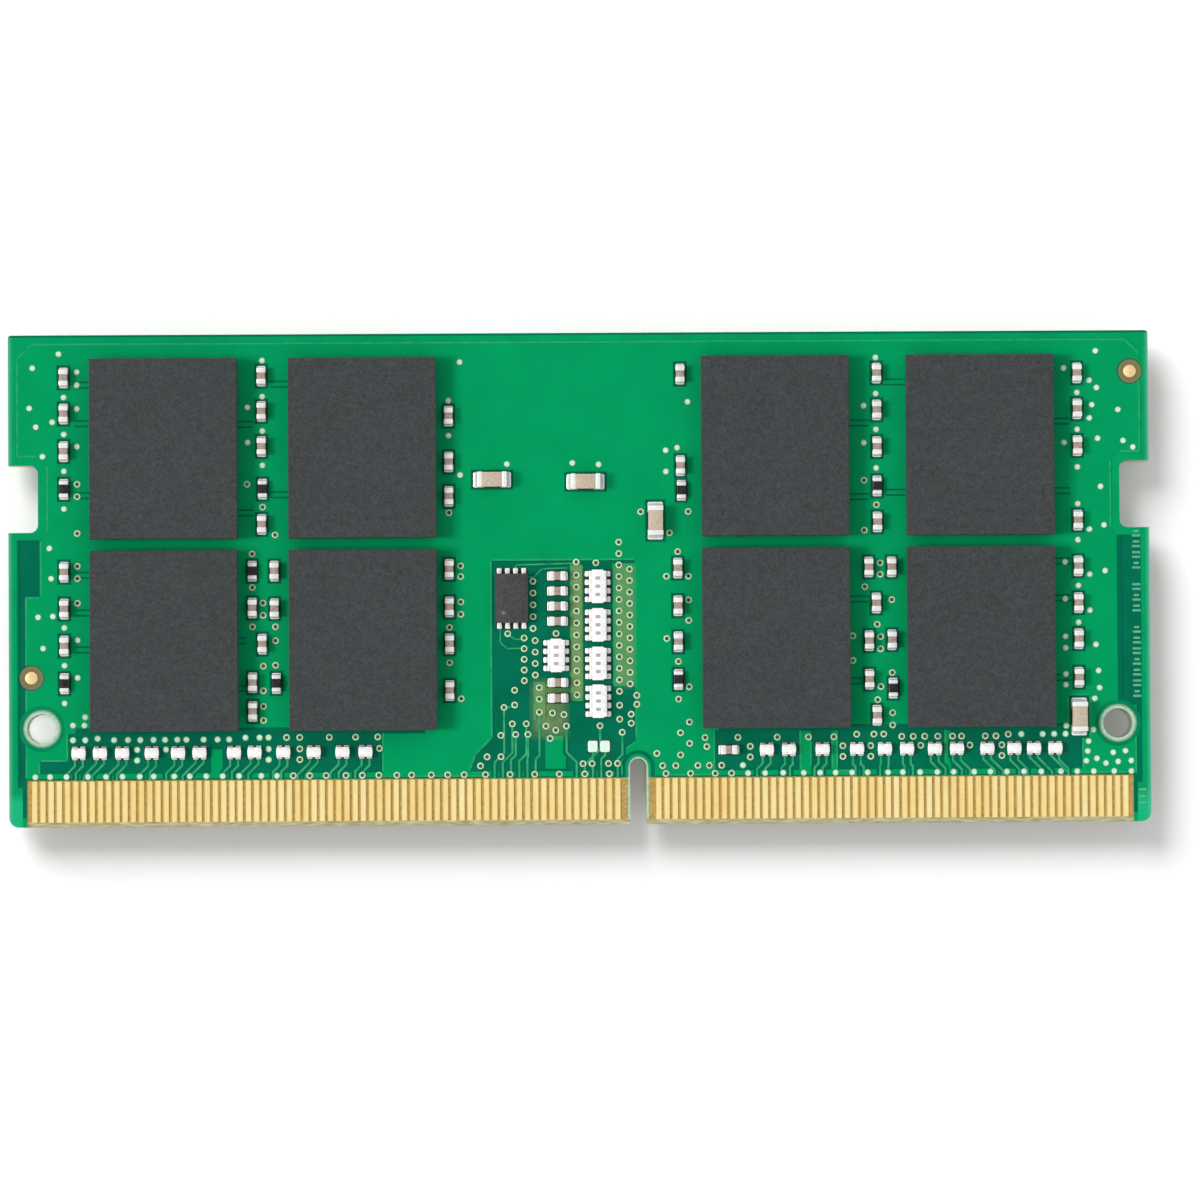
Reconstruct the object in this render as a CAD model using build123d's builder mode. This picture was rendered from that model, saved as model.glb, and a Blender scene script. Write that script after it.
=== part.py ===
from build123d import *
import os
from collections import namedtuple

# A 260-contact small-outline memory module of the double-sided kind: a 69.6 x 30 mm circuit board
# with eight memory packages on each face, a configuration chip, chip capacitors and resistors, and
# two rows of gold contacts along its long lower edge.
# X runs along the contacts, Y up the board away from them, Z out of the front face. The origin is
# under the middle of the board, in the plane that the back packages rest on. Sizes are millimetres.

# ---- Driving dimensions: board outline ----
board_length = 69.6
board_width = 30.0
board_thickness = 1.2
top_corner_radius = 0.2
bottom_corner_radius = 0.6

notch_depth = 1.8
notch_height = 4.1
notch_y = 5.0
notch_radius = 0.5

key_x = 3.5
key_width = 1.0
key_height = 4.0

hole_radius = 0.9
hole_from_side = 2.0
hole_from_bottom = 6.0

# ---- Driving dimensions: layers of the board, from its face inwards ----
mask_over_copper = 0.03
copper_thickness = 0.04
prepreg_thickness = 0.23
plane_thickness = 0.03
plane_inset = 0.6
plane_split = 0.3
plane_split_x = -10.0
pour_inset = 0.5
pour_corner = 0.9
mask_pullback = 0.12
mask_opening = 0.05
hole_rim_radius = 1.2
clearance = 0.14

# ---- Driving dimensions: edge contacts ----
contact_pitch = 0.5
contact_width = 0.35
contact_length = 2.5
contact_from_bottom = 0.3
contact_thickness = 0.05
left_contacts = 72
right_contacts = 58
first_left_contact = -33.25
first_right_contact = 4.75
window_margin = 0.3
bevel_length = 0.3
bevel_depth = 0.2

# ---- Driving dimensions: memory packages ----
package_width = 9.0
package_length = 11.0
package_height = 1.2
package_columns = (-25.15, -13.05, 12.1, 24.6)
package_rows = (8.0, -3.7)
substrate_thickness = 0.2
ball_height = 0.34
ball_radius = 0.22
ball_pitch = 0.8
ball_rows = 13
ball_columns = 3
ball_bank_x = 2.4
window_width = 1.1
window_length = 9.6
window_ridge = 0.1
die_width = 7.2
die_length = 9.0
die_thickness = 0.16
mould_edge = 0.04

# ---- Driving dimensions: vias, tracks and marks ----
via_radius = 0.22
via_gap = 0.02
track_width = 0.13
centre_turn_y = -10.9
pack_turn_y = -11.5
pack_outlet = 0.35
straight_enough = 0.02
left_fan = -0.75
right_fan_middle = 19.5
right_fan_run = 15.0
fiducial_radius = 0.38
fiducial_window = 0.8

# ---- Driving dimensions: surface-mounted chips ----
# length: end to end across the terminals; terminal: how far each one covers; toe: how far its land
# runs out past the end; rows, pitch: terminals along each end; blade: width of one terminal.
Chip = namedtuple("Chip", "length width height terminal toe rows pitch blade")
small_capacitor = Chip(1.0, 0.56, 0.5, 0.26, 0.13, 1, 0, 0.56)
large_capacitor = Chip(1.7, 0.95, 0.85, 0.38, 0.3, 1, 0, 0.95)
small_resistor = Chip(1.0, 0.56, 0.32, 0.22, 0.13, 1, 0, 0.56)
four_way_array = Chip(1.05, 2.04, 0.4, 0.2, 0.26, 4, 0.52, 0.34)
two_way_pack = Chip(0.62, 0.86, 0.36, 0.16, 0.1, 2, 0.48, 0.34)
coating_thickness = 0.03
fillet_climb = 0.55
fillet_share = 0.92
spare_land_tin = 0.07

spd_width = 2.0
spd_length = 3.0
spd_height = 0.55
spd_place = (-4.16, -1.2)
spd_lead_pitch = 0.5
spd_lead_width = 0.27
spd_lead_length = 0.42
spd_lead_toe = 0.22
spd_lead_thickness = 0.15
spd_land_length = 0.55
spd_land_spread = 3.05
spd_land_row = 1.8
spd_paddle = (1.3, 1.5)

# ---- Layout of the front face ----
# The x of packages, chips, vias, tracks and centre copper counts from the middle of the artwork,
# which lies this far from the middle of the board.
artwork_middle = -0.16

# Chips that stand along Y, by the x of their column and the y of each one.
capacitor_columns = {
    -31.25: (12.4, 10.2, 7.9, 0.55, -1.7, -3.95),
    -19.2: (12.45, 10.3, 8.15, 3.4, -3.9),
    -18.45: (0.55, -1.75),
    -19.8: (-1.7, -6.25, -8.0),
    -7.8: (9.95, 7.15, 5.05, 0.6, -1.7, -3.95, -6.8),
    6.35: (12.45, 6.85),
    6.15: (0.6, -1.7, -3.9),
    18.35: (12.45, 10.2, 7.95, 3.35),
    17.8: (0.6, -3.9, -6.25),
    19.2: (0.6, -3.85),
    18.25: (-1.6, -8.45),
    30.6: (12.4, 10.2, 7.95, 3.4, 0.6, -1.65, -3.85, -6.2),
}
resistor_columns = {
    -31.25: (5.6, -6.25),
    -19.15: (5.55,),
    -19.8: (0.55,),
    -18.35: (-6.3,),
    6.4: (5.35,),
    6.15: (-6.2,),
    18.35: (5.55,),
    19.25: (-6.8,),
}
# Capacitors that lie along X beside the configuration chip and by the key slot.
lying_capacitors = [(-1.2, y) for y in (0.15, -0.77, -1.69, -2.61, -6.35, -7.3)] + [(9.2, -10.5)]
large_capacitors = ((-5.15, 6.05, 0), (0.55, 5.9, 0), (4.8, 3.5, 90), (30.6, -8.6, 90))
arrays = [(1.25, y) for y in (-0.5, -2.85, -5.2, -7.5)] + [(-1.3, -4.7)]
# Two-way resistor packs in one row over the contacts.
pack_y = -10.5
pack_columns = (
    *(-30.4, -29.1, -27.75, -25.95, -24.35, -23.05, -20.95, -19.7, -17.95, -16.1, -14.35, -12.95),
    *(11.5, 12.85, 14.9, 17.0, 18.7, 20.05, 21.75, 23.1, 24.95, 26.6, 27.8, 29.1),
)
# The two tinned lands of a part that isn't fitted.
spare_lands = ((0.74, -10.25), (1.49, -10.25))
spare_land_size = (0.6, 0.7)
fiducials = ((-33.43, -5.9), (33.68, 12.5))

# Vias between the left and right edges and the packages next to them.
edge_vias = (
    *((-31.55, 13.85), (-33.15, 13.0), (-33.35, 10.55), (-32.95, 9.4), (-31.95, 9.7), (-32.55, 7.6)),
    *((-32.15, 2.0), (-32.05, 0.15), (-31.95, -2.15), (-32.85, -2.2), (-32.55, -4.1)),
    *((31.75, 13.75), (31.35, 11.95), (31.8, 11.5), (31.5, 10.45), (33.1, 10.15), (31.35, 9.65)),
    *((31.85, 8.4), (33.4, 8.25), (34.0, 7.85), (32.0, 5.45), (32.2, 3.1), (31.3, 2.85)),
    *((32.25, 0.3), (31.3, 0.1), (31.3, -2.1), (31.65, -4.2), (31.8, -5.8), (31.85, -6.85)),
    *((31.55, -7.5), (31.45, -9.4), (31.15, -10.1), (31.1, -10.7), (31.0, -11.3), (31.65, -11.15)),
    *((32.2, -11.45), (32.65, -10.8), (33.4, -10.7), (32.95, -11.35), (33.75, -11.3)),
)
# Vias that stand in line with a column of chips, by the x of the column.
via_columns = {
    -31.25: (11.2, 8.95, 6.7, 4.4, -2.85, -5.15, -7.45),
    -30.45: (12.75, 11.95, 10.5, 8.2, 5.9, 5.15, 2.9, 0.9, 0.15, -1.35, -3.6, -5.9),
    -20.05: (10.55, 8.4),
    -19.15: (13.4, 11.2, 9.1, 7.0, 4.45, -1.4, -2.15, -5.25, -6.75, -7.7, -8.55),
    -19.8: (1.6, -0.45, -2.85),
    -18.4: (2.75, -2.85, -3.7, -5.2),
    -7.8: (10.9, 8.75, 4.05, -2.95, -5.1),
    -7.1: (13.25, 6.35, 0.8, 0.15, -1.4, -2.15, -7.3),
    5.45: (7.8, 6.5, 0.1, -3.7),
    6.15: (7.95, 1.6, -5.1, -7.4),
    6.8: (10.75, 4.05, 0.1, -1.35, -2.6, -6.65, -8.8, -10.1),
    17.55: (10.45, 8.2, 5.9, 2.85, -0.6),
    18.3: (13.4, 11.2, 9.0, 6.65, 4.4, -2.9, -7.5),
    18.5: (0.85, 0.15, -3.65, -4.4, -6.7),
    19.2: (-1.4, -5.85, -8.3, -9.05),
    29.8: (12.7, 8.15, 0.85, -1.4, -3.7, -4.4, -6.0, -6.65, -9.15),
    30.6: (11.2, 8.95, 6.65, 4.4, 2.2, -0.6, -2.85),
}
# Vias by the large capacitors and round the configuration chip.
centre_vias = (
    *((-4.25, 7.0), (-0.25, 7.05), (1.35, 6.95), (3.9, 4.05), (5.65, 2.75)),
    *((-0.05, 1.0), (1.15, 0.95), (-1.3, -3.35), (-4.25, -3.35), (1.35, -9.0), (2.7, -9.4)),
    *((3.6, -7.15), (3.6, -7.7), (3.25, -8.3), (3.25, -8.85)),
    *((-3.85, -6.8), (-4.5, -7.85), (-3.85, -7.7), (-4.0, -8.85), (-3.15, -8.85)),
    *((-2.35, -6.65), (-2.35, -7.35), (-2.35, -8.15), (-1.55, -8.2), (-0.85, -8.3)),
    *((-4.7, -9.55), (-3.8, -9.5), (-3.05, -9.5), (-1.95, -9.0), (-1.35, -9.25), (-0.7, -9.0)),
    *((-1.7, -9.75), (-5.55, -10.85), (-4.7, -10.85), (-5.95, -11.4)),
    *((0.3, -11.3), (0.85, -11.3), (1.85, -11.3), (2.4, -11.3)),
    *((6.25, -9.45), (6.25, -10.8), (4.8, -10.7), (5.15, -11.45), (5.95, -11.45)),
)
# Straight files of vias that carry the bus between the packages: x, highest y, pitch and count.
via_files = (
    (2.55, 2.2, 0.7, 14),
    (3.2, 0.55, 0.7, 11),
    (-0.05, 0.2, 0.73, 11),
    (-2.7, -0.16, 0.72, 5),
    (-2.58, -3.78, 0.7, 4),
    (-3.25, -3.62, 0.65, 5),
    (2.55, -7.75, 0.85, 2),
)
# Vias in rows under the packages and beside the resistor packs, by the y of the row.
via_rows = {
    -8.8: (-30.75, -30.05),
    -9.7: (-30.75, -30.0, -28.25, -27.4, -26.65, -25.85, -25.15, -24.4, -23.85, -22.8, -21.95, -21.25),
    -9.75: (7.75, 9.75, 12.15, 14.05, 15.6, 19.75, 20.45, 21.15, 21.95, 22.85, 23.4, 24.85, 25.5),
    -9.6: (-29.25, -20.25, -19.4, -18.85, -17.75, -16.95, -15.15, -13.55, -12.2, 17.0, 18.05, 18.65),
    -9.65: (26.25, 27.05, 28.35, 29.05, 29.75),
    -10.3: (-26.85, -25.1, -18.85, -16.95, -12.1, 7.85, 10.5, 16.15, 17.85, 20.9, 23.9, 25.85),
    -10.95: (-26.85, -18.85, -16.95, 10.5, 16.15, 17.85, 25.85),
    -11.45: (7.3, 8.0, 8.75, 10.05),
}
# The row of vias that meets the heads of the contacts.
contact_via_y = -11.93
contact_vias = (
    *(-33.05, -32.15, -31.15, -29.85, -28.75, -27.75, -26.7, -25.85, -24.6, -23.65, -22.65, -21.65),
    *(-20.65, -19.3, -18.35, -17.35, -16.35, -15.35, -14.15, -13.15, -12.15, -11.05, -10.15, -8.95),
    *(-7.95, -6.95, -5.65, -4.15, -2.65, -1.15, 0.4, 1.9, 5.35, 6.85, 8.35, 9.35, 10.35, 11.4, 12.5),
    *(13.75, 14.75, 15.7, 16.7, 17.65, 18.9, 19.8, 20.85, 21.9, 22.9, 24.15, 25.15, 26.15, 27.2),
    *(28.25, 29.45, 30.45, 31.45, 32.7, 33.75),
)
# Areas of the front face without copper: low x, low y, high x, high y.
bare_areas = (
    (-34.15, -0.95, -32.9, 2.7),
    (-34.15, -14.2, -33.8, -0.9),
    (33.1, -7.9, 34.3, 2.8),
    (33.95, -14.2, 34.3, -7.9),
    (-31.2, -11.75, -12.1, -9.3),
    (8.2, -11.75, 30.6, -9.3),
    (-32.9, -11.75, -31.0, -11.0),
)
# The bare ground that the configuration chip and the bus vias stand in.
bare_centre = (
    *((-5.2, 1.1), (3.5, 1.1), (3.5, -9.9), (2.6, -10.6), (2.6, -11.75)),
    *((-6.6, -11.75), (-6.2, -10.7), (-5.2, -9.7)),
)
# Copper left standing inside the bare areas: low x, low y, high x, high y.
copper_islands = (
    (-0.45, -7.5, 0.35, 0.85),
    (2.15, -6.6, 3.5, 0.9),
    (-2.0, -11.6, -0.75, -9.6),
    (-2.7, -8.6, -2.0, -6.3),
    (-22.35, -11.75, -21.65, -10.3),
    (13.5, -11.75, 14.25, -9.3),
    (15.45, -11.75, 15.85, -9.3),
    (22.35, -11.75, 22.75, -9.3),
)
# Tracks from vias of the centre down to contacts: x and y of the start, then the contact's x.
centre_tracks = (
    *((-4.5, -7.85, -5.25), (-4.0, -8.85, -4.75), (-3.15, -8.85, -3.75), (-3.8, -9.5, -4.25)),
    *((-3.05, -9.5, -3.25), (-2.35, -8.15, -2.75), (-0.7, -9.0, -0.25), (1.35, -9.0, 0.25)),
    *((0.9, -10.25, 0.75), (1.65, -10.25, 1.25), (2.7, -9.4, 2.25)),
)

# ---- Values that follow ----
board_top = package_height + board_thickness
core_thickness = board_thickness - 2 * (mask_over_copper + copper_thickness + prepreg_thickness)
copper_depth = mask_over_copper + copper_thickness
prepreg_depth = copper_depth + prepreg_thickness
hole_x = board_length / 2 - hole_from_side
hole_y = hole_from_bottom - board_width / 2
contact_y = contact_from_bottom + contact_length / 2 - board_width / 2
contact_top_y = contact_from_bottom + contact_length - board_width / 2
contact_places = [first_left_contact + contact_pitch * i for i in range(left_contacts)]
contact_places += [first_right_contact + contact_pitch * i for i in range(right_contacts)]
package_places = [(x + artwork_middle, y) for y in package_rows for x in package_columns]
mould_height = package_height - ball_height - substrate_thickness
# Half the length of the unmasked window that the contacts stand in.
window_reach = contact_places[-1] + contact_width / 2 + window_margin

# Each face of the board, with its normal outwards and Y up the board. The back is laid out in the
# same places as the front, so its x is turned over with it.
faces = {
    "front": Plane((0, 0, board_top)),
    "back": Plane((0, 0, package_height), x_dir=(-1, 0, 0), z_dir=(0, 0, -1)),
}
outward = {"front": 1, "back": -1}
standing_up = (Align.CENTER, Align.CENTER, Align.MIN)


def write(builder, label):
    """Label a finished sub-part and write its STEP file."""
    builder.part.label = label
    export_step(builder.part, f"parts/{label}.step")


def level(side, depth):
    """Height of the plane that lies this deep under a face of the board."""
    return board_top - depth if side == "front" else package_height + depth


def on_face(side, places):
    """Locations on a face of the board for places given as x and y, or x, y and turn in degrees."""
    over = 1 if side == "front" else -1
    turned = [(place[0] * over, place[1], place[2] if len(place) > 2 else 0) for place in places]
    return [faces[side].location * Location((x, y, 0), (0, 0, turn)) for x, y, turn in turned]


def flat(places):
    """Locations in a sketch on XY for places given as x and y, or x, y and turn in degrees."""
    return [Location((x, y, 0), (0, 0, turn[0] if turn else 0)) for x, y, *turn in places]


def set_over(places):
    """Places counted from the middle of the artwork, counted from the middle of the board instead."""
    return [(x + artwork_middle, *others) for x, *others in places]


def standing(columns):
    """Places of chips that stand along Y, from a table of columns."""
    return [(x, y, 90) for x, column in columns.items() for y in column]


def outline(inset=0.0, corner=0.0):
    """The board's outline on XY, pulled in by inset from every edge, notch, slot and hole."""
    with BuildSketch() as shape:
        Rectangle(board_length - 2 * inset, board_width - 2 * inset)
        if corner:
            chamfer(shape.vertices(), corner)
        else:
            fillet(shape.vertices().group_by(Axis.Y)[-1], top_corner_radius)
            fillet(shape.vertices().group_by(Axis.Y)[0], bottom_corner_radius)
        with Locations((-board_length / 2, notch_y), (board_length / 2, notch_y)):
            Rectangle(2 * (notch_depth + inset), notch_height + 2 * inset, mode=Mode.SUBTRACT)
        notch_x = board_length / 2 - notch_depth - inset
        inner = shape.vertices().filter_by(lambda vertex: abs(abs(vertex.X) - notch_x) < 0.01)
        fillet(inner, notch_radius)
        key_radius = key_width / 2 + inset
        straight = key_height - key_width / 2
        with Locations((key_x, straight - board_width / 2)):
            Circle(key_radius, mode=Mode.SUBTRACT)
        with Locations((key_x, -board_width / 2)):
            Rectangle(2 * key_radius, 2 * straight, mode=Mode.SUBTRACT)
        with Locations((-hole_x, hole_y), (hole_x, hole_y)):
            Circle(hole_radius + inset, mode=Mode.SUBTRACT)
    return shape.sketch


def box_area(corners, mode=Mode.ADD):
    """Draw one rectangle given as low x, low y, high x, high y in the sketch that is open."""
    low_x, low_y, high_x, high_y = corners
    with Locations(((low_x + high_x) / 2, (low_y + high_y) / 2)):
        Rectangle(high_x - low_x, high_y - low_y, mode=mode)


def terminal_rows(chip):
    """How far up or down each terminal of one end sits from the chip's middle line."""
    return [chip.pitch * (row - (chip.rows - 1) / 2) for row in range(chip.rows)]


def land_places(chip):
    """Middles of a chip's lands, for a chip along X."""
    middle = chip.length / 2 + (chip.toe - chip.terminal) / 2
    return [(end * middle, row) for end in (-1, 1) for row in terminal_rows(chip)]


def site_size(chip, margin=0.0):
    """Length and width of the ground that a chip and its lands take up, grown by this margin."""
    width = chip.pitch * (chip.rows - 1) + chip.blade
    return chip.length + 2 * (chip.toe + margin), width + 2 * margin


def draw_lands(side):
    """Draw every land of a face in the sketch that is open."""
    for chip, places in chips[side].values():
        with Locations(*flat(places)):
            with Locations(*land_places(chip)):
                Rectangle(chip.terminal + chip.toe, chip.blade)
    if side == "front":
        with Locations(spd_place):
            with GridLocations(spd_lead_pitch, spd_land_spread, 4, 2):
                Rectangle(spd_lead_width, spd_land_length)
        with Locations(*spare_lands):
            Rectangle(*spare_land_size)
        with Locations(*fiducials):
            Circle(fiducial_radius)


def draw_sites(side, margin, mode):
    """Draw one rectangle round each chip of a face, and a circle round each fiducial."""
    for chip, places in chips[side].values():
        with Locations(*flat(places)):
            Rectangle(*site_size(chip, margin), mode=mode)
    if side == "front":
        with Locations(spd_place):
            with Locations((0, -spd_land_spread / 2), (0, spd_land_spread / 2)):
                Rectangle(spd_land_row + 2 * margin, spd_land_length + 2 * margin, mode=mode)
        with Locations(*spare_lands):
            Rectangle(spare_land_size[0] + 2 * margin, spare_land_size[1] + 2 * margin, mode=mode)
        with Locations(*fiducials):
            Circle(fiducial_window, mode=mode)


def clear_vias():
    """The via places whose round lands stay clear of the ground of every front chip."""
    sites = []
    for chip, places in chips["front"].values():
        length, width = site_size(chip, via_radius + via_gap)
        for x, y, *turn in places:
            stands = bool(turn and turn[0])
            sites.append((x, y, width if stands else length, length if stands else width))
    kept = []
    for via_x, via_y in via_places:
        if not any(abs(via_x - x) < wide / 2 and abs(via_y - y) < high / 2 for x, y, wide, high in sites):
            kept.append((via_x, via_y))
    return kept


def end_places(chip):
    """Middles of a chip's terminals, for a chip along X."""
    middle = (chip.length - chip.terminal) / 2
    return [(end * middle, row) for end in (-1, 1) for row in terminal_rows(chip)]


def fillet_places(chip):
    """Where each solder fillet of a chip along X goes, turned to face out past its own end."""
    return [Location((0, row, 0), (0, 0, turn)) for turn in (0, 180) for row in terminal_rows(chip)]


def solder_fillet(chip):
    """The solder of the terminal at a chip's +X end."""
    inner = chip.length / 2 - chip.terminal
    end = chip.length / 2
    toe = end + chip.toe
    with BuildPart() as joint:
        with BuildSketch(Plane.XZ.offset(-fillet_share * chip.blade / 2)):
            with BuildLine():
                Polyline(
                    (inner, -mask_over_copper),
                    (toe, -mask_over_copper),
                    (toe, 0),
                    (end, fillet_climb * chip.height),
                    (end, 0),
                    (inner, 0),
                    close=True,
                )
            make_face()
        extrude(amount=fillet_share * chip.blade, dir=(0, -1, 0))
    return joint.part


def track_route(start_x, start_y, middle_y, end_x):
    """Points of a track from its start down to the head of a contact, with one slanted run."""
    slant = abs(end_x - start_x)
    if slant < straight_enough:
        return [(start_x, start_y), (start_x, contact_top_y)]
    turn_in = (start_x, middle_y + slant / 2)
    turn_out = (end_x, middle_y - slant / 2)
    return [(start_x, start_y), turn_in, turn_out, (end_x, contact_top_y)]


# Places of every chip on each face. The back carries the same packages, capacitors and resistor
# packs, and none of the parts round the configuration chip.
chips = {
    "front": {
        "capacitor": (small_capacitor, set_over(standing(capacitor_columns) + lying_capacitors)),
        "resistor": (small_resistor, set_over(standing(resistor_columns))),
        "large_capacitor": (large_capacitor, set_over(large_capacitors)),
        "array": (four_way_array, set_over(arrays)),
        "pack": (two_way_pack, set_over([(x, pack_y, 90) for x in pack_columns])),
    },
    "back": {
        "capacitor": (small_capacitor, set_over(standing(capacitor_columns) + standing(resistor_columns))),
        "pack": (two_way_pack, set_over([(x, pack_y, 90) for x in pack_columns])),
    },
}
listed_vias = [
    *edge_vias,
    *centre_vias,
    *[(x, y) for x, column in via_columns.items() for y in column],
    *[(x, y) for y, row in via_rows.items() for x in row],
    *[(x, top - pitch * i) for x, top, pitch, count in via_files for i in range(count)],
    *[(x, contact_via_y) for x in contact_vias],
]
via_places = set_over(listed_vias)

os.makedirs("parts", exist_ok=True)

# ---- Board: laminate and inner planes ----
with BuildPart() as core_laminate:
    with BuildSketch(Plane.XY.offset(level("back", prepreg_depth))):
        add(outline())
    extrude(amount=core_thickness)
write(core_laminate, "core_laminate")

for side, plane_label in (("front", "ground_plane"), ("back", "power_plane")):
    outwards = outward[side]
    with BuildPart() as inner_plane:
        with BuildSketch(Plane.XY.offset(level(side, prepreg_depth))):
            add(outline(plane_inset))
            if plane_label == "power_plane":
                # The supply copper is split in two from top to bottom.
                with Locations((plane_split_x, 0)):
                    Rectangle(plane_split, board_width, mode=Mode.SUBTRACT)
        extrude(amount=outwards * plane_thickness)
    write(inner_plane, plane_label)

    with BuildPart() as prepreg:
        with BuildSketch(Plane.XY.offset(level(side, prepreg_depth))):
            add(outline())
        extrude(amount=outwards * prepreg_thickness)
        add(inner_plane.part, mode=Mode.SUBTRACT)
        # The bevel that leads the contact edge into its socket.
        edge_y = -board_width / 2
        face_z = level(side, copper_depth)
        with BuildSketch(Plane.YZ.offset(-window_reach)):
            with BuildLine():
                Polyline(
                    (edge_y, face_z),
                    (edge_y + bevel_length, face_z),
                    (edge_y, face_z - outwards * bevel_depth),
                    close=True,
                )
            make_face()
        extrude(amount=2 * window_reach, dir=(1, 0, 0), mode=Mode.SUBTRACT)
    write(prepreg, f"prepreg_{side}")

# ---- Board: outer copper and solder mask, one face at a time ----
# The tracks of the front face run from the bus vias and the resistor packs down to the contacts.
routes = [track_route(x + artwork_middle, y, centre_turn_y, end_x) for x, y, end_x in centre_tracks]
for x in pack_columns:
    # Left of the key slot they all lean one way; right of it they fan out from their middle.
    fan = left_fan if x < 0 else (x - right_fan_middle) / right_fan_run
    for outlet in (x - two_way_pack.pitch / 2, x + two_way_pack.pitch / 2):
        foot = min(contact_places, key=lambda place: abs(place - outlet - fan))
        routes.append(track_route(outlet + artwork_middle, pack_y - pack_outlet, pack_turn_y, foot))
with BuildSketch() as track_runs:
    with BuildLine():
        for route in routes:
            Polyline(*route)
    trace(line_width=track_width)
    with Locations(*[point for route in routes for point in route[:-1]]):
        Circle(track_width / 2)

with BuildPart() as vias_front:
    with BuildSketch(Plane.XY.offset(level("front", copper_depth))) as via_shapes:
        with Locations(*clear_vias()):
            Circle(via_radius)
    extrude(amount=copper_thickness)
write(vias_front, "vias_front")

with BuildPart() as tracks_front:
    with BuildSketch(Plane.XY.offset(level("front", copper_depth))):
        add(track_runs.sketch)
        add(via_shapes.sketch_local, mode=Mode.SUBTRACT)
        draw_sites("front", 0, mode=Mode.SUBTRACT)
    extrude(amount=copper_thickness)
write(tracks_front, "tracks_front")

with BuildSketch() as track_moats:
    with BuildLine():
        for route in routes:
            Polyline(*route)
    trace(line_width=track_width + 2 * clearance)

with BuildSketch() as bare_ground:
    for corners in bare_areas:
        box_area(corners)
    with BuildLine():
        Polyline(*set_over(bare_centre), close=True)
    make_face()
    with Locations((artwork_middle, 0)):
        for corners in copper_islands:
            box_area(corners, mode=Mode.SUBTRACT)

for side in faces:
    outwards = outward[side]
    copper_plane = Plane.XY.offset(level(side, copper_depth))

    # Lands: the tinned copper that the chips are soldered to, with the fiducial dots on the front.
    with BuildPart() as lands:
        with BuildSketch(copper_plane):
            draw_lands(side)
        extrude(amount=outwards * copper_thickness)
    write(lands, f"lands_{side}")

    # Copper that the mask covers: the ground pour, cut back round the chips and contacts.
    with BuildPart() as ground_pour:
        with BuildSketch(copper_plane):
            add(outline(pour_inset, pour_corner))
            with Locations((0, contact_top_y + clearance - board_width / 2)):
                Rectangle(board_length, board_width, mode=Mode.SUBTRACT)
            if side == "front":
                add(bare_ground.sketch, mode=Mode.SUBTRACT)
                add(track_moats.sketch, mode=Mode.SUBTRACT)
                add(via_shapes.sketch_local, mode=Mode.SUBTRACT)
            draw_sites(side, clearance, mode=Mode.SUBTRACT)
        extrude(amount=outwards * copper_thickness)
    write(ground_pour, f"ground_pour_{side}")

    # Contacts: one gold-plated finger for each place, on both faces.
    with BuildPart() as contacts:
        with BuildSketch(copper_plane):
            with Locations(*[(x, contact_y) for x in contact_places]):
                Rectangle(contact_width, contact_length)
        extrude(amount=outwards * contact_thickness)
    write(contacts, f"contacts_{side}")

    # Solder mask: a film over everything but the chips' lands, the fiducials, the contacts' window
    # and the rims of the holes and of the key slot.
    with BuildPart() as solder_mask:
        with BuildSketch(Plane.XY.offset(level(side, mask_over_copper))):
            add(outline())
            with Locations((0, contact_top_y + mask_opening - board_width / 2)):
                Rectangle(2 * window_reach, board_width, mode=Mode.SUBTRACT)
            with Locations((-hole_x, hole_y), (hole_x, hole_y)):
                Circle(hole_rim_radius, mode=Mode.SUBTRACT)
            with Locations((key_x, key_height - key_width / 2 - board_width / 2)):
                Circle(key_width / 2 + mask_pullback, mode=Mode.SUBTRACT)
                below = (Align.CENTER, Align.MAX)
                Rectangle(key_width + 2 * mask_pullback, key_height, align=below, mode=Mode.SUBTRACT)
            draw_sites(side, mask_opening, mode=Mode.SUBTRACT)
        extrude(amount=outwards * mask_over_copper)
    write(solder_mask, f"solder_mask_{side}")

# ---- Memory packages ----
with BuildPart() as ball:
    with Locations((0, 0, ball_height / 2)):
        Sphere(ball_radius)
        Box(1, 1, ball_height, mode=Mode.INTERSECT)

substrate_top = ball_height + substrate_thickness
for side in faces:
    spots = on_face(side, package_places)

    # The mould cap over each die is a sub-part of its own.
    for number, spot in enumerate(spots, start=1):
        with BuildPart() as package_cap:
            with Locations(spot):
                with Locations((0, 0, substrate_top)):
                    Box(package_width, package_length, mould_height, align=standing_up)
                    Box(die_width, die_length, die_thickness, align=standing_up, mode=Mode.SUBTRACT)
            outer_face = package_cap.faces().sort_by(Axis.Z)[-1 if side == "front" else 0]
            chamfer(outer_face.edges(), mould_edge)
        write(package_cap, f"package_cap_{side}_{number}")

    # Each die lies face down on its substrate, over the window that its bond wires pass through.
    with BuildPart() as dies:
        with Locations(*spots):
            with Locations((0, 0, substrate_top)):
                Box(die_width, die_length, die_thickness, align=standing_up)
    write(dies, f"memory_dies_{side}")

    with BuildPart() as substrates:
        with Locations(*spots):
            with Locations((0, 0, ball_height)):
                Box(package_width, package_length, substrate_thickness, align=standing_up)
                Box(window_width, window_length, substrate_thickness, align=standing_up, mode=Mode.SUBTRACT)
    write(substrates, f"package_substrates_{side}")

    with BuildPart() as window_seals:
        with Locations(*spots):
            with Locations((0, 0, ball_height - window_ridge)):
                Box(window_width, window_length, substrate_thickness + window_ridge, align=standing_up)
    write(window_seals, f"window_seals_{side}")

    with BuildPart() as solder_balls:
        with Locations(*spots):
            with Locations((-ball_bank_x, 0), (ball_bank_x, 0)):
                with GridLocations(ball_pitch, ball_pitch, ball_columns, ball_rows):
                    add(ball.part)
    write(solder_balls, f"solder_balls_{side}")

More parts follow.
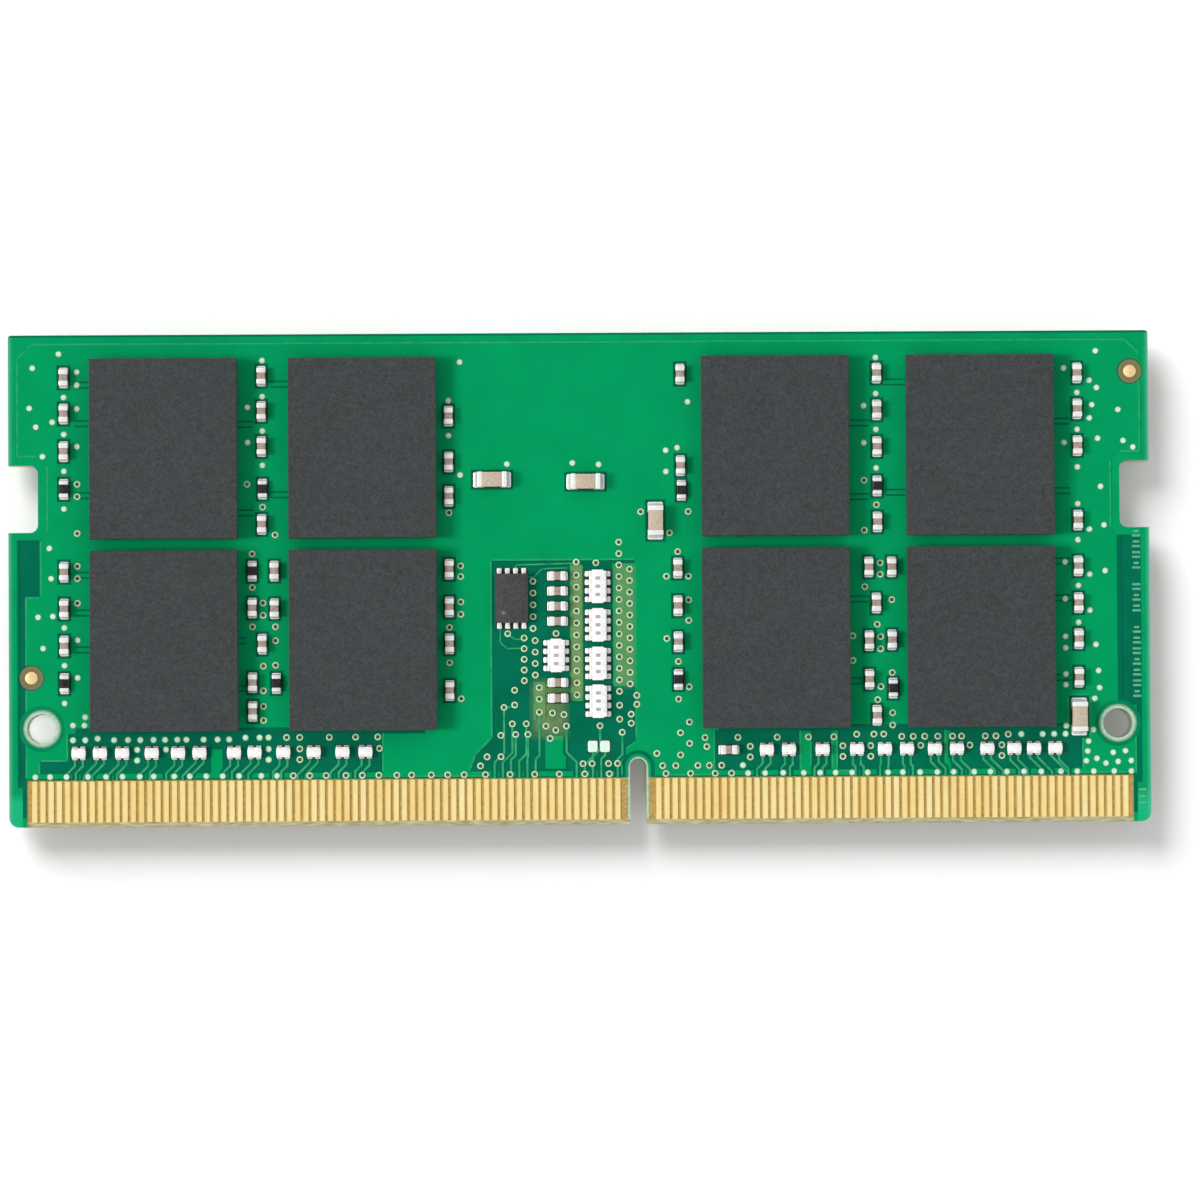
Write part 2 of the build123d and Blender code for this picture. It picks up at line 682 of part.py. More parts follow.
# ---- Chip capacitors, resistors, arrays and packs ----
chip_labels = {
    "capacitor": ("capacitor_bodies", "capacitor_ends"),
    "resistor": ("resistor_bodies", "resistor_ends"),
    "large_capacitor": ("large_capacitor_bodies", "large_capacitor_ends"),
    "array": ("array_bodies", "array_ends"),
    "pack": ("pack_bodies", "pack_ends"),
}
for side in faces:
    for kind, (chip, places) in chips[side].items():
        body_label, end_label = chip_labels[kind]
        blocks = end_places(chip)
        with BuildPart() as bodies:
            with Locations(*on_face(side, places)):
                Box(chip.length, chip.width, chip.height, align=standing_up)
                with Locations(*blocks):
                    Box(chip.terminal, chip.blade, chip.height, align=standing_up, mode=Mode.SUBTRACT)
        write(bodies, f"{body_label}_{side}")

        with BuildPart() as ends:
            with Locations(*on_face(side, places)):
                with Locations(*blocks):
                    Box(chip.terminal, chip.blade, chip.height, align=standing_up)
        write(ends, f"{end_label}_{side}")

# The black coating over each single resistor.
with BuildPart() as resistor_coatings:
    with Locations(*on_face("front", chips["front"]["resistor"][1])):
        with Locations((0, 0, small_resistor.height)):
            coated = small_resistor.length - 2 * small_resistor.terminal
            Box(coated, small_resistor.width, coating_thickness, align=standing_up)
write(resistor_coatings, "resistor_coatings_front")

# ---- Configuration chip ----
spd_spot = on_face("front", [spd_place])[0]
spd_lead_y = spd_length / 2 + spd_lead_toe - spd_lead_length / 2
with BuildPart() as spd_leads:
    with Locations(spd_spot):
        with GridLocations(spd_lead_pitch, 2 * spd_lead_y, 4, 2):
            Box(spd_lead_width, spd_lead_length, spd_lead_thickness, align=standing_up)
        Box(*spd_paddle, spd_lead_thickness, align=standing_up)
write(spd_leads, "configuration_chip_leads")

with BuildPart() as spd_body:
    with Locations(spd_spot):
        Box(spd_width, spd_length, spd_height, align=standing_up)
    chamfer(spd_body.faces().sort_by(Axis.Z)[-1].edges(), mould_edge)
    add(spd_leads.part, mode=Mode.SUBTRACT)
write(spd_body, "configuration_chip_body")

# ---- Solder ----
# Under each terminal a thin bed, and out past its end a fillet that climbs the end.
for side in faces:
    with BuildPart() as solder_fillets:
        for chip, places in chips[side].values():
            fillet_shape = solder_fillet(chip)
            with Locations(*on_face(side, places)):
                with Locations(*fillet_places(chip)):
                    add(fillet_shape)
        if side == "front":
            with Locations(spd_spot):
                with Locations((0, 0, -mask_over_copper)):
                    with GridLocations(spd_lead_pitch, spd_land_spread, 4, 2):
                        Box(spd_lead_width, spd_land_length, mask_over_copper, align=standing_up)
            with Locations(*on_face(side, spare_lands)):
                with Locations((0, 0, -mask_over_copper)):
                    Box(*spare_land_size, spare_land_tin, align=standing_up)
    write(solder_fillets, f"solder_fillets_{side}")
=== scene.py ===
import math
from collections import namedtuple

import bmesh
import bpy
import numpy as np
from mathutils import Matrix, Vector


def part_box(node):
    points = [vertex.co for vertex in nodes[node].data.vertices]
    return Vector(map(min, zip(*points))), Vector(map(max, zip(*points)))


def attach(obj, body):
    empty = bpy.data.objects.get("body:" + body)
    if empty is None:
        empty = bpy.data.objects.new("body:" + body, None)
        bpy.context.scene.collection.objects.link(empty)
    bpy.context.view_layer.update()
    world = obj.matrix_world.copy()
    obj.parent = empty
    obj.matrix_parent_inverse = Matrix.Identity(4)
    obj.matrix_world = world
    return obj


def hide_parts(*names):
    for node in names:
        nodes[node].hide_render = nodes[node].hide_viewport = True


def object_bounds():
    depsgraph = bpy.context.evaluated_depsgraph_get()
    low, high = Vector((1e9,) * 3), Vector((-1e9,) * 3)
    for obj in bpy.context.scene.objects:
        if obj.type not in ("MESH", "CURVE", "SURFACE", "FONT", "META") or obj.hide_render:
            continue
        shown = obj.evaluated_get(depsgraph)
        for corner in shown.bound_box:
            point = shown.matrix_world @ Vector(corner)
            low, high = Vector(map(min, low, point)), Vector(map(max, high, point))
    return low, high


# The looks of the memory module. Lengths are written in millimetres times mm, and Blender's unit is
# the metre. X runs along the contacts, Y up the board and Z out of the front face.
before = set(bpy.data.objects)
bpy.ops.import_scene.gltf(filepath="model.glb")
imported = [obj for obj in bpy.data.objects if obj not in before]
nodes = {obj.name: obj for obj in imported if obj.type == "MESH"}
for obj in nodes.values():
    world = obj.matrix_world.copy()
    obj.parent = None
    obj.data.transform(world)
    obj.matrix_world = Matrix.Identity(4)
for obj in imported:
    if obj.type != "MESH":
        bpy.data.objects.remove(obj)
cad_low, cad_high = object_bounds()
mm = 0.001

# ---- Levels and sizes that come from the frame ----
mask_low, mask_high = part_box("solder_mask_front")
back_mask_low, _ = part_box("solder_mask_back")
face_z = {"front": mask_high.z, "back": back_mask_low.z}
outward = {"front": 1, "back": -1}
copper_z = {"front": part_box("ground_pour_front")[1].z, "back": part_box("ground_pour_back")[0].z}

# Contacts repeat along X, and the first one starts at the low end of their box.
contact_pitch = 0.5
contact_width = 0.35
contact_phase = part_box("contacts_front")[0].x / mm + contact_width / 2 - contact_pitch / 2

# ---- Layout that only the looks need, in millimetres ----
board_middle_z = 1.8
half_length, half_width = 34.8, 15.0
holes = ((-32.8, -9.0), (32.8, -9.0))
slot_top = (3.5, -11.5)
fiducials = ((-33.43, -5.9), (33.68, 12.5))
# Vias stand as solid pale dots in these rectangles, and elsewhere as rings with a dark centre.
solid_vias = (
    (-35, 6, 35, 15),
    (-35, -15, -31.16, 15),
    (-35, -15, -29.4, -2.5),
    (-35, -15, -18.16, -9.4),
    (29.2, -15, 35, 15),
    (9.64, -15, 35, -11.2),
    (26.84, -15, 35, -9),
)
via_radius = 0.205
# Rectangles of copper that show as dark as the bare laminate.
dark_copper = (
    (-34.28, -12.3, -34.0, 2.45),
    (-30.76, -9.4, -9.46, -8.98),
    (8.44, -9.4, 29.54, -8.98),
    (32.8, -7.75, 33.3, 2.45),
)
# Supply strips, which show olive through the mask: each one's corners, the width of its fading sides
# and how strong it is.
supply_strips = (
    (-0.66, -7.5, 0.24, 0.85, 0.22, 1.0),
    (1.94, -6.8, 3.49, 1.0, 0.45, 0.62),
    (-3.16, -9.9, -0.61, -6.0, 0.6, 0.85),
)
# Tented vias with no barrel of their own in the frame, beside the packages.
extra_vias = ((-20.26, 5.85), (16.64, -3.6), (16.64, -5.1), (-30.16, -8.3))
# Dark gaps either side of a track that runs from a chip into the package beside it. Each place where
# such tracks leave has its ends in x and the heights of the tracks' middles.
link_gap = 0.11
link_spread = 0.34
links = (
    (-30.76, -29.76, (11.95, 9.6, 5.2, 0.35, -1.95, -4.2)),
    (-20.81, -19.86, (9.5, 4.1)),
    (-18.86, -17.71, (11.95, 5.2)),
    (-20.81, -20.36, (-3.7, -6.6)),
    (16.44, 17.74, (9.4, 4.9)),
    (18.64, 19.94, (11.9, 5.15)),
    (16.44, 17.84, (-1.35,)),
    (16.44, 17.34, (-6.35,)),
    (28.94, 29.99, (9.45, 5.2, 0.9, -1.35, -6.2)),
)

# Fine tracks round the configuration chip, as the corners that each one passes.
track_width = 0.09
fine_tracks = (
    ((-3.98, 0.5), (-3.85, 0.84), (-0.4, 0.92)),
    ((-3.1, 0.1), (-2.78, 0.1), (-2.3, 0.6), (-0.76, 0.64)),
    ((-4.86, -3.05), (-4.86, -3.87), (-4.47, -4.25), (-3.5, -4.25)),
    ((-4.4, -3.4), (-3.95, -3.7), (-3.5, -3.7)),
    ((-4.62, -7.88), (-4.05, -7.78)),
)


# ---- Materials ----
class Paint:
    """A material under construction, with short calls for the nodes that it is made of."""

    def __init__(self, name, roughness=0.5, metallic=0.0, specular=0.5):
        self.material = bpy.data.materials.new(name)
        self.material.use_nodes = True
        self.tree = self.material.node_tree
        self.shader = self.tree.nodes["Principled BSDF"]
        self.shader.inputs["Roughness"].default_value = roughness
        self.shader.inputs["Metallic"].default_value = metallic
        self.shader.inputs["Specular IOR Level"].default_value = specular
        coordinates = self.tree.nodes.new("ShaderNodeTexCoord")
        in_mm = self.tree.nodes.new("ShaderNodeVectorMath")
        in_mm.operation = "SCALE"
        in_mm.inputs["Scale"].default_value = 1 / mm
        self.tree.links.new(coordinates.outputs["Object"], in_mm.inputs[0])
        self.place = in_mm.outputs[0]
        axes = self.tree.nodes.new("ShaderNodeSeparateXYZ")
        self.tree.links.new(self.place, axes.inputs[0])
        self.x, self.y, self.z = axes.outputs

    def feed(self, socket, value):
        if isinstance(value, bpy.types.NodeSocket):
            self.tree.links.new(value, socket)
        elif isinstance(value, tuple) and len(value) == 3 and socket.type == "RGBA":
            socket.default_value = (*value, 1.0)
        else:
            socket.default_value = value

    def noise(self, size, detail=2.0, stretch=(1, 1, 1), rough=0.5):
        """Noise from 0 to 1 whose blots measure about size millimetres."""
        spread = self.tree.nodes.new("ShaderNodeVectorMath")
        spread.operation = "MULTIPLY"
        self.tree.links.new(self.place, spread.inputs[0])
        spread.inputs[1].default_value = stretch
        texture = self.tree.nodes.new("ShaderNodeTexNoise")
        texture.inputs["Scale"].default_value = 1 / size
        texture.inputs["Detail"].default_value = detail
        texture.inputs["Roughness"].default_value = rough
        self.tree.links.new(spread.outputs[0], texture.inputs["Vector"])
        return texture.outputs["Fac"]

    def cells(self, size):
        """A random number for each cell about size millimetres wide."""
        texture = self.tree.nodes.new("ShaderNodeTexVoronoi")
        texture.inputs["Scale"].default_value = 1 / size
        self.tree.links.new(self.place, texture.inputs["Vector"])
        grey = self.tree.nodes.new("ShaderNodeSeparateColor")
        self.tree.links.new(texture.outputs["Color"], grey.inputs[0])
        return grey.outputs[0]

    def waves(self, size, along, distortion):
        """Bands of size millimetres, as in woven glass."""
        texture = self.tree.nodes.new("ShaderNodeTexWave")
        texture.bands_direction = along
        texture.inputs["Scale"].default_value = 0.314 / size
        texture.inputs["Distortion"].default_value = distortion
        self.tree.links.new(self.place, texture.inputs["Vector"])
        return texture.outputs["Fac"]

    def math(self, operation, first, second=0.0, clamp=False):
        node = self.tree.nodes.new("ShaderNodeMath")
        node.operation = operation
        node.use_clamp = clamp
        self.feed(node.inputs[0], first)
        self.feed(node.inputs[1], second)
        return node.outputs[0]

    def ramp(self, fac, *stops):
        """Colours by position along fac, as (position, (r, g, b)) pairs."""
        node = self.tree.nodes.new("ShaderNodeValToRGB")
        elements = node.color_ramp.elements
        while len(elements) < len(stops):
            elements.new(0.5)
        for element, (position, colour) in zip(elements, stops):
            element.position = position
            element.color = (*colour, 1.0)
        self.feed(node.inputs[0], fac)
        return node.outputs["Color"]

    def mix(self, fac, first, second):
        node = self.tree.nodes.new("ShaderNodeMix")
        node.data_type = "RGBA"
        self.feed(node.inputs[0], fac)
        self.feed(node.inputs[6], first)
        self.feed(node.inputs[7], second)
        return node.outputs[2]

    def within(self, value, low, high):
        """1 where value lies between low and high, else 0."""
        above = self.math("GREATER_THAN", value, low)
        below = self.math("LESS_THAN", value, high)
        return self.math("MULTIPLY", above, below)

    def in_box(self, low_x, low_y, high_x, high_y):
        return self.math("MULTIPLY", self.within(self.x, low_x, high_x), self.within(self.y, low_y, high_y))

    def soft_box(self, low_x, low_y, high_x, high_y, fade):
        """1 inside a rectangle of the board, falling to 0 over fade millimetres at its sides."""
        parts = (
            self.math("SUBTRACT", self.x, low_x),
            self.math("SUBTRACT", high_x, self.x),
            self.math("SUBTRACT", self.y, low_y),
            self.math("SUBTRACT", high_y, self.y),
        )
        inside = 1.0
        for depth in parts:
            inside = self.math("MULTIPLY", inside, self.math("DIVIDE", depth, fade, clamp=True))
        return inside

    def distance(self, x, y):
        """How far a point of the board is from (x, y), seen from above, in millimetres."""
        across = self.math("POWER", self.math("SUBTRACT", self.x, x), 2.0)
        along = self.math("POWER", self.math("SUBTRACT", self.y, y), 2.0)
        return self.math("SQRT", self.math("ADD", across, along))

    def near(self, x, y, radius):
        """1 within radius of a point of the board, seen from above."""
        return self.math("LESS_THAN", self.distance(x, y), radius)

    def beside_slot(self, reach):
        """1 within reach of the key slot's middle, from the round end down to the board's edge."""
        x, y = slot_top
        return self.in_box(x - reach, -half_width, x + reach, y)

    def colour(self, value):
        self.feed(self.shader.inputs["Base Color"], value)

    def roughness(self, fac, low, high):
        """Roughness that follows fac between two values."""
        node = self.tree.nodes.new("ShaderNodeMapRange")
        self.feed(node.inputs["Value"], fac)
        node.inputs["To Min"].default_value = low
        node.inputs["To Max"].default_value = high
        self.feed(self.shader.inputs["Roughness"], node.outputs[0])

    def bump(self, height, depth):
        """Relief of at most depth millimetres."""
        node = self.tree.nodes.new("ShaderNodeBump")
        node.inputs["Strength"].default_value = 1.0
        node.inputs["Distance"].default_value = depth * mm
        self.feed(node.inputs["Height"], height)
        self.tree.links.new(node.outputs[0], self.shader.inputs["Normal"])


def shade(colour, factor):
    return tuple(channel * factor for channel in colour)


mask_green = (0.0, 0.322, 0.109)
mask_teal = (0.0, 0.148, 0.078)
mask_olive = (0.30, 0.36, 0.13)
laminate_tan = (0.46, 0.31, 0.09)


def olive_strips(paint, base, grain, most):
    """The olive tint of the supply strips laid over a colour, patchy and soft at its sides."""
    patches = paint.ramp(paint.noise(0.5, detail=3), (0.32, (0.55, 0.55, 0.55)), (0.62, (1.0, 1.0, 1.0)))
    olive = paint.ramp(grain, (0.3, shade(mask_olive, 0.62)), (0.75, mask_olive))
    front = paint.math("GREATER_THAN", paint.z, board_middle_z)
    for *strip, strength in supply_strips:
        tinted = paint.math("MULTIPLY", front, most * strength)
        inside = paint.math("MULTIPLY", paint.soft_box(*strip), tinted)
        base = paint.mix(paint.math("MULTIPLY", inside, patches), base, olive)
    return base


def mask_over_copper():
    """Glossy green resist over copper, with the glass weave showing faintly and olive supply strips."""
    paint = Paint("mask_over_copper", specular=0.07)
    mottle = paint.noise(2.6, detail=3)
    grain = paint.noise(0.12, detail=2)
    base = paint.ramp(mottle, (0.3, shade(mask_green, 0.94)), (0.7, shade(mask_green, 1.06)))
    base = paint.mix(paint.math("MULTIPLY", grain, 0.22), base, shade(mask_green, 0.72))
    front = paint.math("GREATER_THAN", paint.z, board_middle_z)
    bare = paint.ramp(mottle, (0.3, shade(mask_teal, 0.9)), (0.7, mask_teal))
    for patch in dark_copper:
        base = paint.mix(paint.math("MULTIPLY", paint.in_box(*patch), front), base, bare)
    paint.colour(olive_strips(paint, base, grain, 0.85))
    weave = paint.math("MULTIPLY", paint.waves(0.45, "X", 0.6), paint.waves(0.45, "Y", 0.6))
    relief = paint.math("ADD", paint.math("MULTIPLY", weave, 0.5), paint.math("MULTIPLY", mottle, 0.5))
    paint.roughness(grain, 0.24, 0.4)
    paint.bump(relief, 0.004)
    return paint.material


def mask_over_laminate():
    """The same resist over bare laminate: darker and bluer, with a light rim at the board's edge."""
    paint = Paint("mask_over_laminate", specular=0.07)
    mottle = paint.noise(1.7, detail=3)
    grain = paint.noise(0.12, detail=2)
    base = paint.ramp(mottle, (0.3, shade(mask_teal, 0.88)), (0.7, shade(mask_teal, 1.12)))
    across = paint.math("ABSOLUTE", paint.x)
    corner = paint.math("GREATER_THAN", across, half_length - 0.82)
    corner = paint.math("MULTIPLY", corner, paint.math("LESS_THAN", paint.y, -12.6))
    side_notch = paint.math("GREATER_THAN", across, 32.4)
    # Light zones: the board's sides, cut corners, notches, low corners, key slot and holes.
    zones = [
        paint.math("GREATER_THAN", across, half_length - 0.52),
        paint.math("GREATER_THAN", paint.y, half_width - 0.55),
        paint.math("LESS_THAN", paint.y, 0.55 - half_width),
        paint.math("GREATER_THAN", paint.math("ADD", across, paint.y), 47.85),
        paint.math("MULTIPLY", side_notch, paint.within(paint.y, 2.5, 7.6)),
        corner,
        paint.beside_slot(0.78),
    ]
    for (x, y), radius, most in ((holes[0], 1.42, 0.55), (holes[1], 1.42, 0.4), (slot_top, 0.78, 1.0)):
        zones.append(paint.math("MULTIPLY", paint.near(x, y, radius), most))
    rim = 0.0
    for zone in zones:
        rim = paint.math("MAXIMUM", rim, zone)
    light = paint.ramp(mottle, (0.3, shade(mask_green, 0.97)), (0.7, shade(mask_green, 1.12)))
    tip = paint.math("DIVIDE", paint.math("SUBTRACT", -12.9, paint.y), 0.6, clamp=True)
    light = paint.mix(paint.math("MULTIPLY", tip, corner), light, (0.011, 0.47, 0.2))
    brink = paint.math("SUBTRACT", across, half_length - 0.32)
    brink = paint.math("DIVIDE", brink, 0.32, clamp=True)
    light = paint.mix(paint.math("MULTIPLY", brink, brink), light, (0.12, 0.5, 0.35))
    base = paint.mix(rim, base, light)
    base = paint.mix(paint.math("MULTIPLY", grain, 0.2), base, shade(mask_teal, 0.7))
    base = olive_strips(paint, base, grain, 0.7)
    top = paint.math("GREATER_THAN", paint.y, 14.86)
    paint.colour(paint.mix(paint.math("MULTIPLY", top, 0.75), base, shade(mask_teal, 0.8)))
    paint.roughness(grain, 0.26, 0.42)
    paint.bump(mottle, 0.004)
    return paint.material


def mask_ridge_highlight(name, dark, light):
    """Resist over the rim of the copper and over the tracks, paler than the rest: partly the real tone of
    resist over raised copper, partly a painted highlight where these raised edges catch the light.
    """
    paint = Paint(name, specular=0.07, roughness=0.34)
    grain = paint.noise(0.6, detail=3)
    paint.colour(paint.ramp(grain, (0.3, dark), (0.7, light)))
    paint.bump(grain, 0.003)
    return paint.material


def laminate():
    """Glass-fibre laminate: tan with a fine weave, layered at its cut edges, paler round the holes, and near
    black on its faces above the contacts' band, a painted shade for the mask's openings round the chips and
    lands.
    """
    paint = Paint("laminate", roughness=0.62, specular=0.3)
    grain = paint.noise(0.16, detail=3)
    fibres = paint.noise(0.1, detail=2, stretch=(0.12, 0.12, 1.6))
    face = paint.ramp(grain, (0.3, shade(laminate_tan, 0.75)), (0.7, shade(laminate_tan, 1.2)))
    # Painted shade: the laminate's faces that show in the mask's openings above the contacts' band are
    # painted near black, for the shade round the chips and lands.
    painted_opening_shade = paint.ramp(grain, (0.3, (0.012, 0.03, 0.016)), (0.7, (0.03, 0.06, 0.032)))
    skin = paint.math("ABSOLUTE", paint.math("SUBTRACT", paint.z, board_middle_z))
    skin = paint.math("GREATER_THAN", skin, 0.5)
    face = paint.mix(paint.math("MULTIPLY", skin, paint.math("GREATER_THAN", paint.y, -12.1)), face, painted_opening_shade)
    glass = ((0.25, (0.23, 0.205, 0.09)), (0.5, (0.42, 0.385, 0.2)), (0.75, (0.6, 0.56, 0.38)))
    edge = paint.ramp(fibres, *glass)
    normal = paint.tree.nodes.new("ShaderNodeNewGeometry")
    turned = paint.tree.nodes.new("ShaderNodeSeparateXYZ")
    paint.tree.links.new(normal.outputs["True Normal"], turned.inputs[0])
    lies_flat = paint.math("GREATER_THAN", paint.math("ABSOLUTE", turned.outputs[2]), 0.9)
    base = paint.mix(lies_flat, edge, face)
    pale = paint.ramp(grain, (0.3, (0.3, 0.52, 0.36)), (0.7, (0.5, 0.7, 0.52)))
    for (x, y), inner, outer in ((holes[0], 1.0, 1.2), (holes[1], 1.0, 1.2), (slot_top, 0.56, 0.66)):
        away = paint.distance(x, y)
        fade = paint.math("DIVIDE", paint.math("SUBTRACT", away, inner), outer - inner, clamp=True)
        tint = paint.mix(fade, pale, shade(mask_green, 0.6))
        here = paint.math("MULTIPLY", paint.math("LESS_THAN", away, outer + 0.05), lies_flat)
        base = paint.mix(here, base, tint)
    base = paint.mix(paint.math("MULTIPLY", paint.beside_slot(0.62), lies_flat), base, pale)
    brown, grey_green = (0.22, 0.165, 0.055), (0.13, 0.24, 0.11)
    inner_ring = (0.4, brown), (0.56, shade(brown, 0.9))
    outer_ring = (0.66, grey_green), (0.78, shade(grey_green, 0.35))
    for x, y in fiducials:
        away = paint.distance(x, y)
        ring = paint.ramp(away, *inner_ring, *outer_ring)
        base = paint.mix(paint.math("LESS_THAN", away, 0.85), base, ring)
    paint.colour(base)
    paint.roughness(grain, 0.5, 0.75)
    paint.bump(fibres, 0.006)
    return paint.material


def metal(name, dark, light, roughness, size=0.25, metallic=1.0):
    """A metal whose tint and polish vary in blots of a given size."""
    paint = Paint(name, metallic=metallic)
    blots = paint.noise(size, detail=3)
    fine = paint.noise(size / 6, detail=2)
    both = paint.math("ADD", paint.math("MULTIPLY", blots, 0.65), paint.math("MULTIPLY", fine, 0.35))
    paint.colour(paint.ramp(both, (0.32, dark), (0.68, light)))
    paint.roughness(fine, roughness - 0.07, roughness + 0.08)
    paint.bump(fine, 0.004)
    return paint.material


def gold():
    """Hard gold with fine drawn lines and tints varied between contacts, with a painted highlight along the
    middle of each contact and painted shade towards its sides.
    """
    paint = Paint("contact_gold", metallic=0.12)
    lines = paint.noise(0.06, detail=2, stretch=(1.0, 0.05, 1.0))
    blots = paint.noise(0.9, detail=3)
    each = paint.noise(1.3, detail=0, stretch=(1.0, 0.02, 1.0))
    tint = paint.math("ADD", paint.math("MULTIPLY", lines, 0.3), paint.math("MULTIPLY", blots, 0.25))
    tint = paint.math("ADD", tint, paint.math("MULTIPLY", each, 0.45))
    lit_middle = paint.ramp(tint, (0.3, (0.93, 0.64, 0.22)), (0.5, (0.95, 0.75, 0.31)), (0.7, (0.97, 0.85, 0.46)))
    shaded_sides = paint.ramp(tint, (0.3, (0.55, 0.3, 0.06)), (0.7, (0.74, 0.45, 0.11)))
    # Across each contact the colour goes from the painted highlight in its middle to painted shade at its
    # sides, for the light on its rounded face.
    step = paint.math("DIVIDE", paint.math("SUBTRACT", paint.x, contact_phase), contact_pitch)
    step = paint.math("FRACT", step)
    aside = paint.math("ABSOLUTE", paint.math("SUBTRACT", step, 0.5))
    paint.colour(paint.mix(paint.ramp(aside, (0.22, (0, 0, 0)), (0.4, (1, 1, 1))), lit_middle, shaded_sides))
    paint.roughness(lines, 0.3, 0.45)
    paint.bump(lines, 0.0015)
    return paint.material


def mould_compound(name, dark, light):
    """Black epoxy with the fine pale speckle of its filler."""
    paint = Paint(name, specular=0.24)
    speckle = paint.cells(0.09)
    cloud = paint.noise(0.35, detail=4, rough=0.65)
    broad = paint.noise(3.0, detail=2)
    between = tuple((a + b) / 2 for a, b in zip(dark, light))
    base = paint.ramp(speckle, (0.05, dark), (0.55, between), (0.98, light))
    base = paint.mix(0.45, base, paint.ramp(cloud, (0.3, dark), (0.72, light)))
    paint.colour(paint.mix(paint.math("MULTIPLY", broad, 0.25), base, shade(dark, 0.8)))
    relief = paint.math("ADD", paint.math("MULTIPLY", speckle, 0.35), paint.math("MULTIPLY", cloud, 0.65))
    paint.roughness(cloud, 0.5, 0.72)
    paint.bump(relief, 0.008)
    return paint.material


def ceramic(name, dark, light, roughness=0.5, size=0.14):
    """A fired ceramic body with a fine grain."""
    paint = Paint(name, specular=0.4)
    grain = paint.noise(size, detail=4, rough=0.6)
    paint.colour(paint.ramp(grain, (0.3, dark), (0.7, light)))
    paint.roughness(grain, roughness - 0.08, roughness + 0.1)
    paint.bump(grain, 0.006)
    return paint.material


paints = {
    "mask_high": mask_over_copper(),
    "mask_low": mask_over_laminate(),
    # Painted highlights: the copper's rim and the tracks are painted paler than the resist round them.
    "mask_edge": mask_ridge_highlight("mask_edge_light", (0.0, 0.325, 0.115), (0.035, 0.38, 0.145)),
    "mask_track": mask_ridge_highlight("mask_over_track", (0.01, 0.30, 0.12), (0.06, 0.40, 0.18)),
    "laminate": laminate(),
    "copper": metal("copper_foil", (0.6, 0.28, 0.15), (0.86, 0.5, 0.32), 0.4),
    "fiducial": metal("bare_copper", (0.9, 0.58, 0.28), (1.0, 0.83, 0.47), 0.45, metallic=0.35),
    "gold": gold(),
    "land_tin": metal("tinned_land", (0.7, 0.9, 0.8), (0.84, 1.0, 0.92), 0.42, size=0.3, metallic=0.1),
    "tin": metal("tinned_terminal", (0.78, 0.78, 0.76), (1.0, 1.0, 0.98), 0.36, size=0.3, metallic=0.15),
    "solder": metal("solder", (0.72, 0.73, 0.72), (0.98, 0.99, 0.99), 0.28, size=0.2, metallic=0.3),
    "mould": mould_compound("mould_compound", (0.028, 0.031, 0.032), (0.068, 0.076, 0.079)),
    "chip_mould": mould_compound("chip_mould", (0.034, 0.034, 0.036), (0.088, 0.088, 0.091)),
    "substrate": ceramic("package_substrate", (0.015, 0.055, 0.025), (0.035, 0.1, 0.045), 0.45),
    "silicon": metal("silicon", (0.2, 0.2, 0.23), (0.34, 0.34, 0.38), 0.2),
    "resin": ceramic("window_resin", (0.012, 0.012, 0.013), (0.03, 0.03, 0.032), 0.4),
    "capacitor": ceramic("capacitor_ceramic", (0.27, 0.21, 0.155), (0.46, 0.39, 0.32)),
    "large_capacitor": ceramic("large_capacitor_ceramic", (0.44, 0.36, 0.26), (0.61, 0.52, 0.41)),
    "alumina": ceramic("alumina", (0.74, 0.73, 0.7), (0.92, 0.91, 0.89)),
    "overglaze": ceramic("white_overglaze", (0.86, 0.86, 0.85), (1.0, 1.0, 0.99), 0.4),
    "coating": ceramic("resistor_coating", (0.008, 0.008, 0.009), (0.03, 0.03, 0.033), 0.32),
    "dimple": ceramic("moulded_dimple", (0.1, 0.09, 0.095), (0.2, 0.18, 0.19), 0.6),
    "mark": ceramic("pale_mark", (0.36, 0.31, 0.33), (0.54, 0.48, 0.5), 0.6),
    "strip_mark": ceramic("strip_mark", (0.06, 0.36, 0.19), (0.14, 0.47, 0.28), 0.45, size=0.3),
    "via_pale": ceramic("via_pale", (0.5, 0.72, 0.5), (0.8, 0.93, 0.76), 0.35, size=0.3),
    "via_halo": ceramic("via_halo", (0.08, 0.4, 0.2), (0.2, 0.52, 0.28), 0.35, size=0.3),
    "via_ring": ceramic("via_ring", (0.4, 0.58, 0.33), (0.72, 0.87, 0.61), 0.35, size=0.3),
    "via_hole": ceramic("via_hole", (0.01, 0.07, 0.025), (0.05, 0.13, 0.04), 0.5, size=0.2),
}


# ---- Shapes: lists of (points, faces, material index) ----
def from_bmesh(bm):
    """The points and faces of a bmesh, which is freed."""
    bm.verts.ensure_lookup_table()
    points = np.array([vertex.co[:] for vertex in bm.verts])
    faces = [[vertex.index for vertex in face.verts] for face in bm.faces]
    bm.free()
    return [(points, faces, 0)]


def rounded_box(size, centre, radius, segments=2):
    """A box with rounded edges. Sizes are millimetres."""
    bm = bmesh.new()
    bmesh.ops.create_cube(bm, size=1.0)
    for vertex in bm.verts:
        vertex.co = Vector(centre) + Vector(v * s for v, s in zip(vertex.co, size))
    bmesh.ops.bevel(bm, geom=bm.edges[:], offset=radius, segments=segments, profile=0.5, affect="EDGES")
    bm.verts.index_update()
    return from_bmesh(bm)


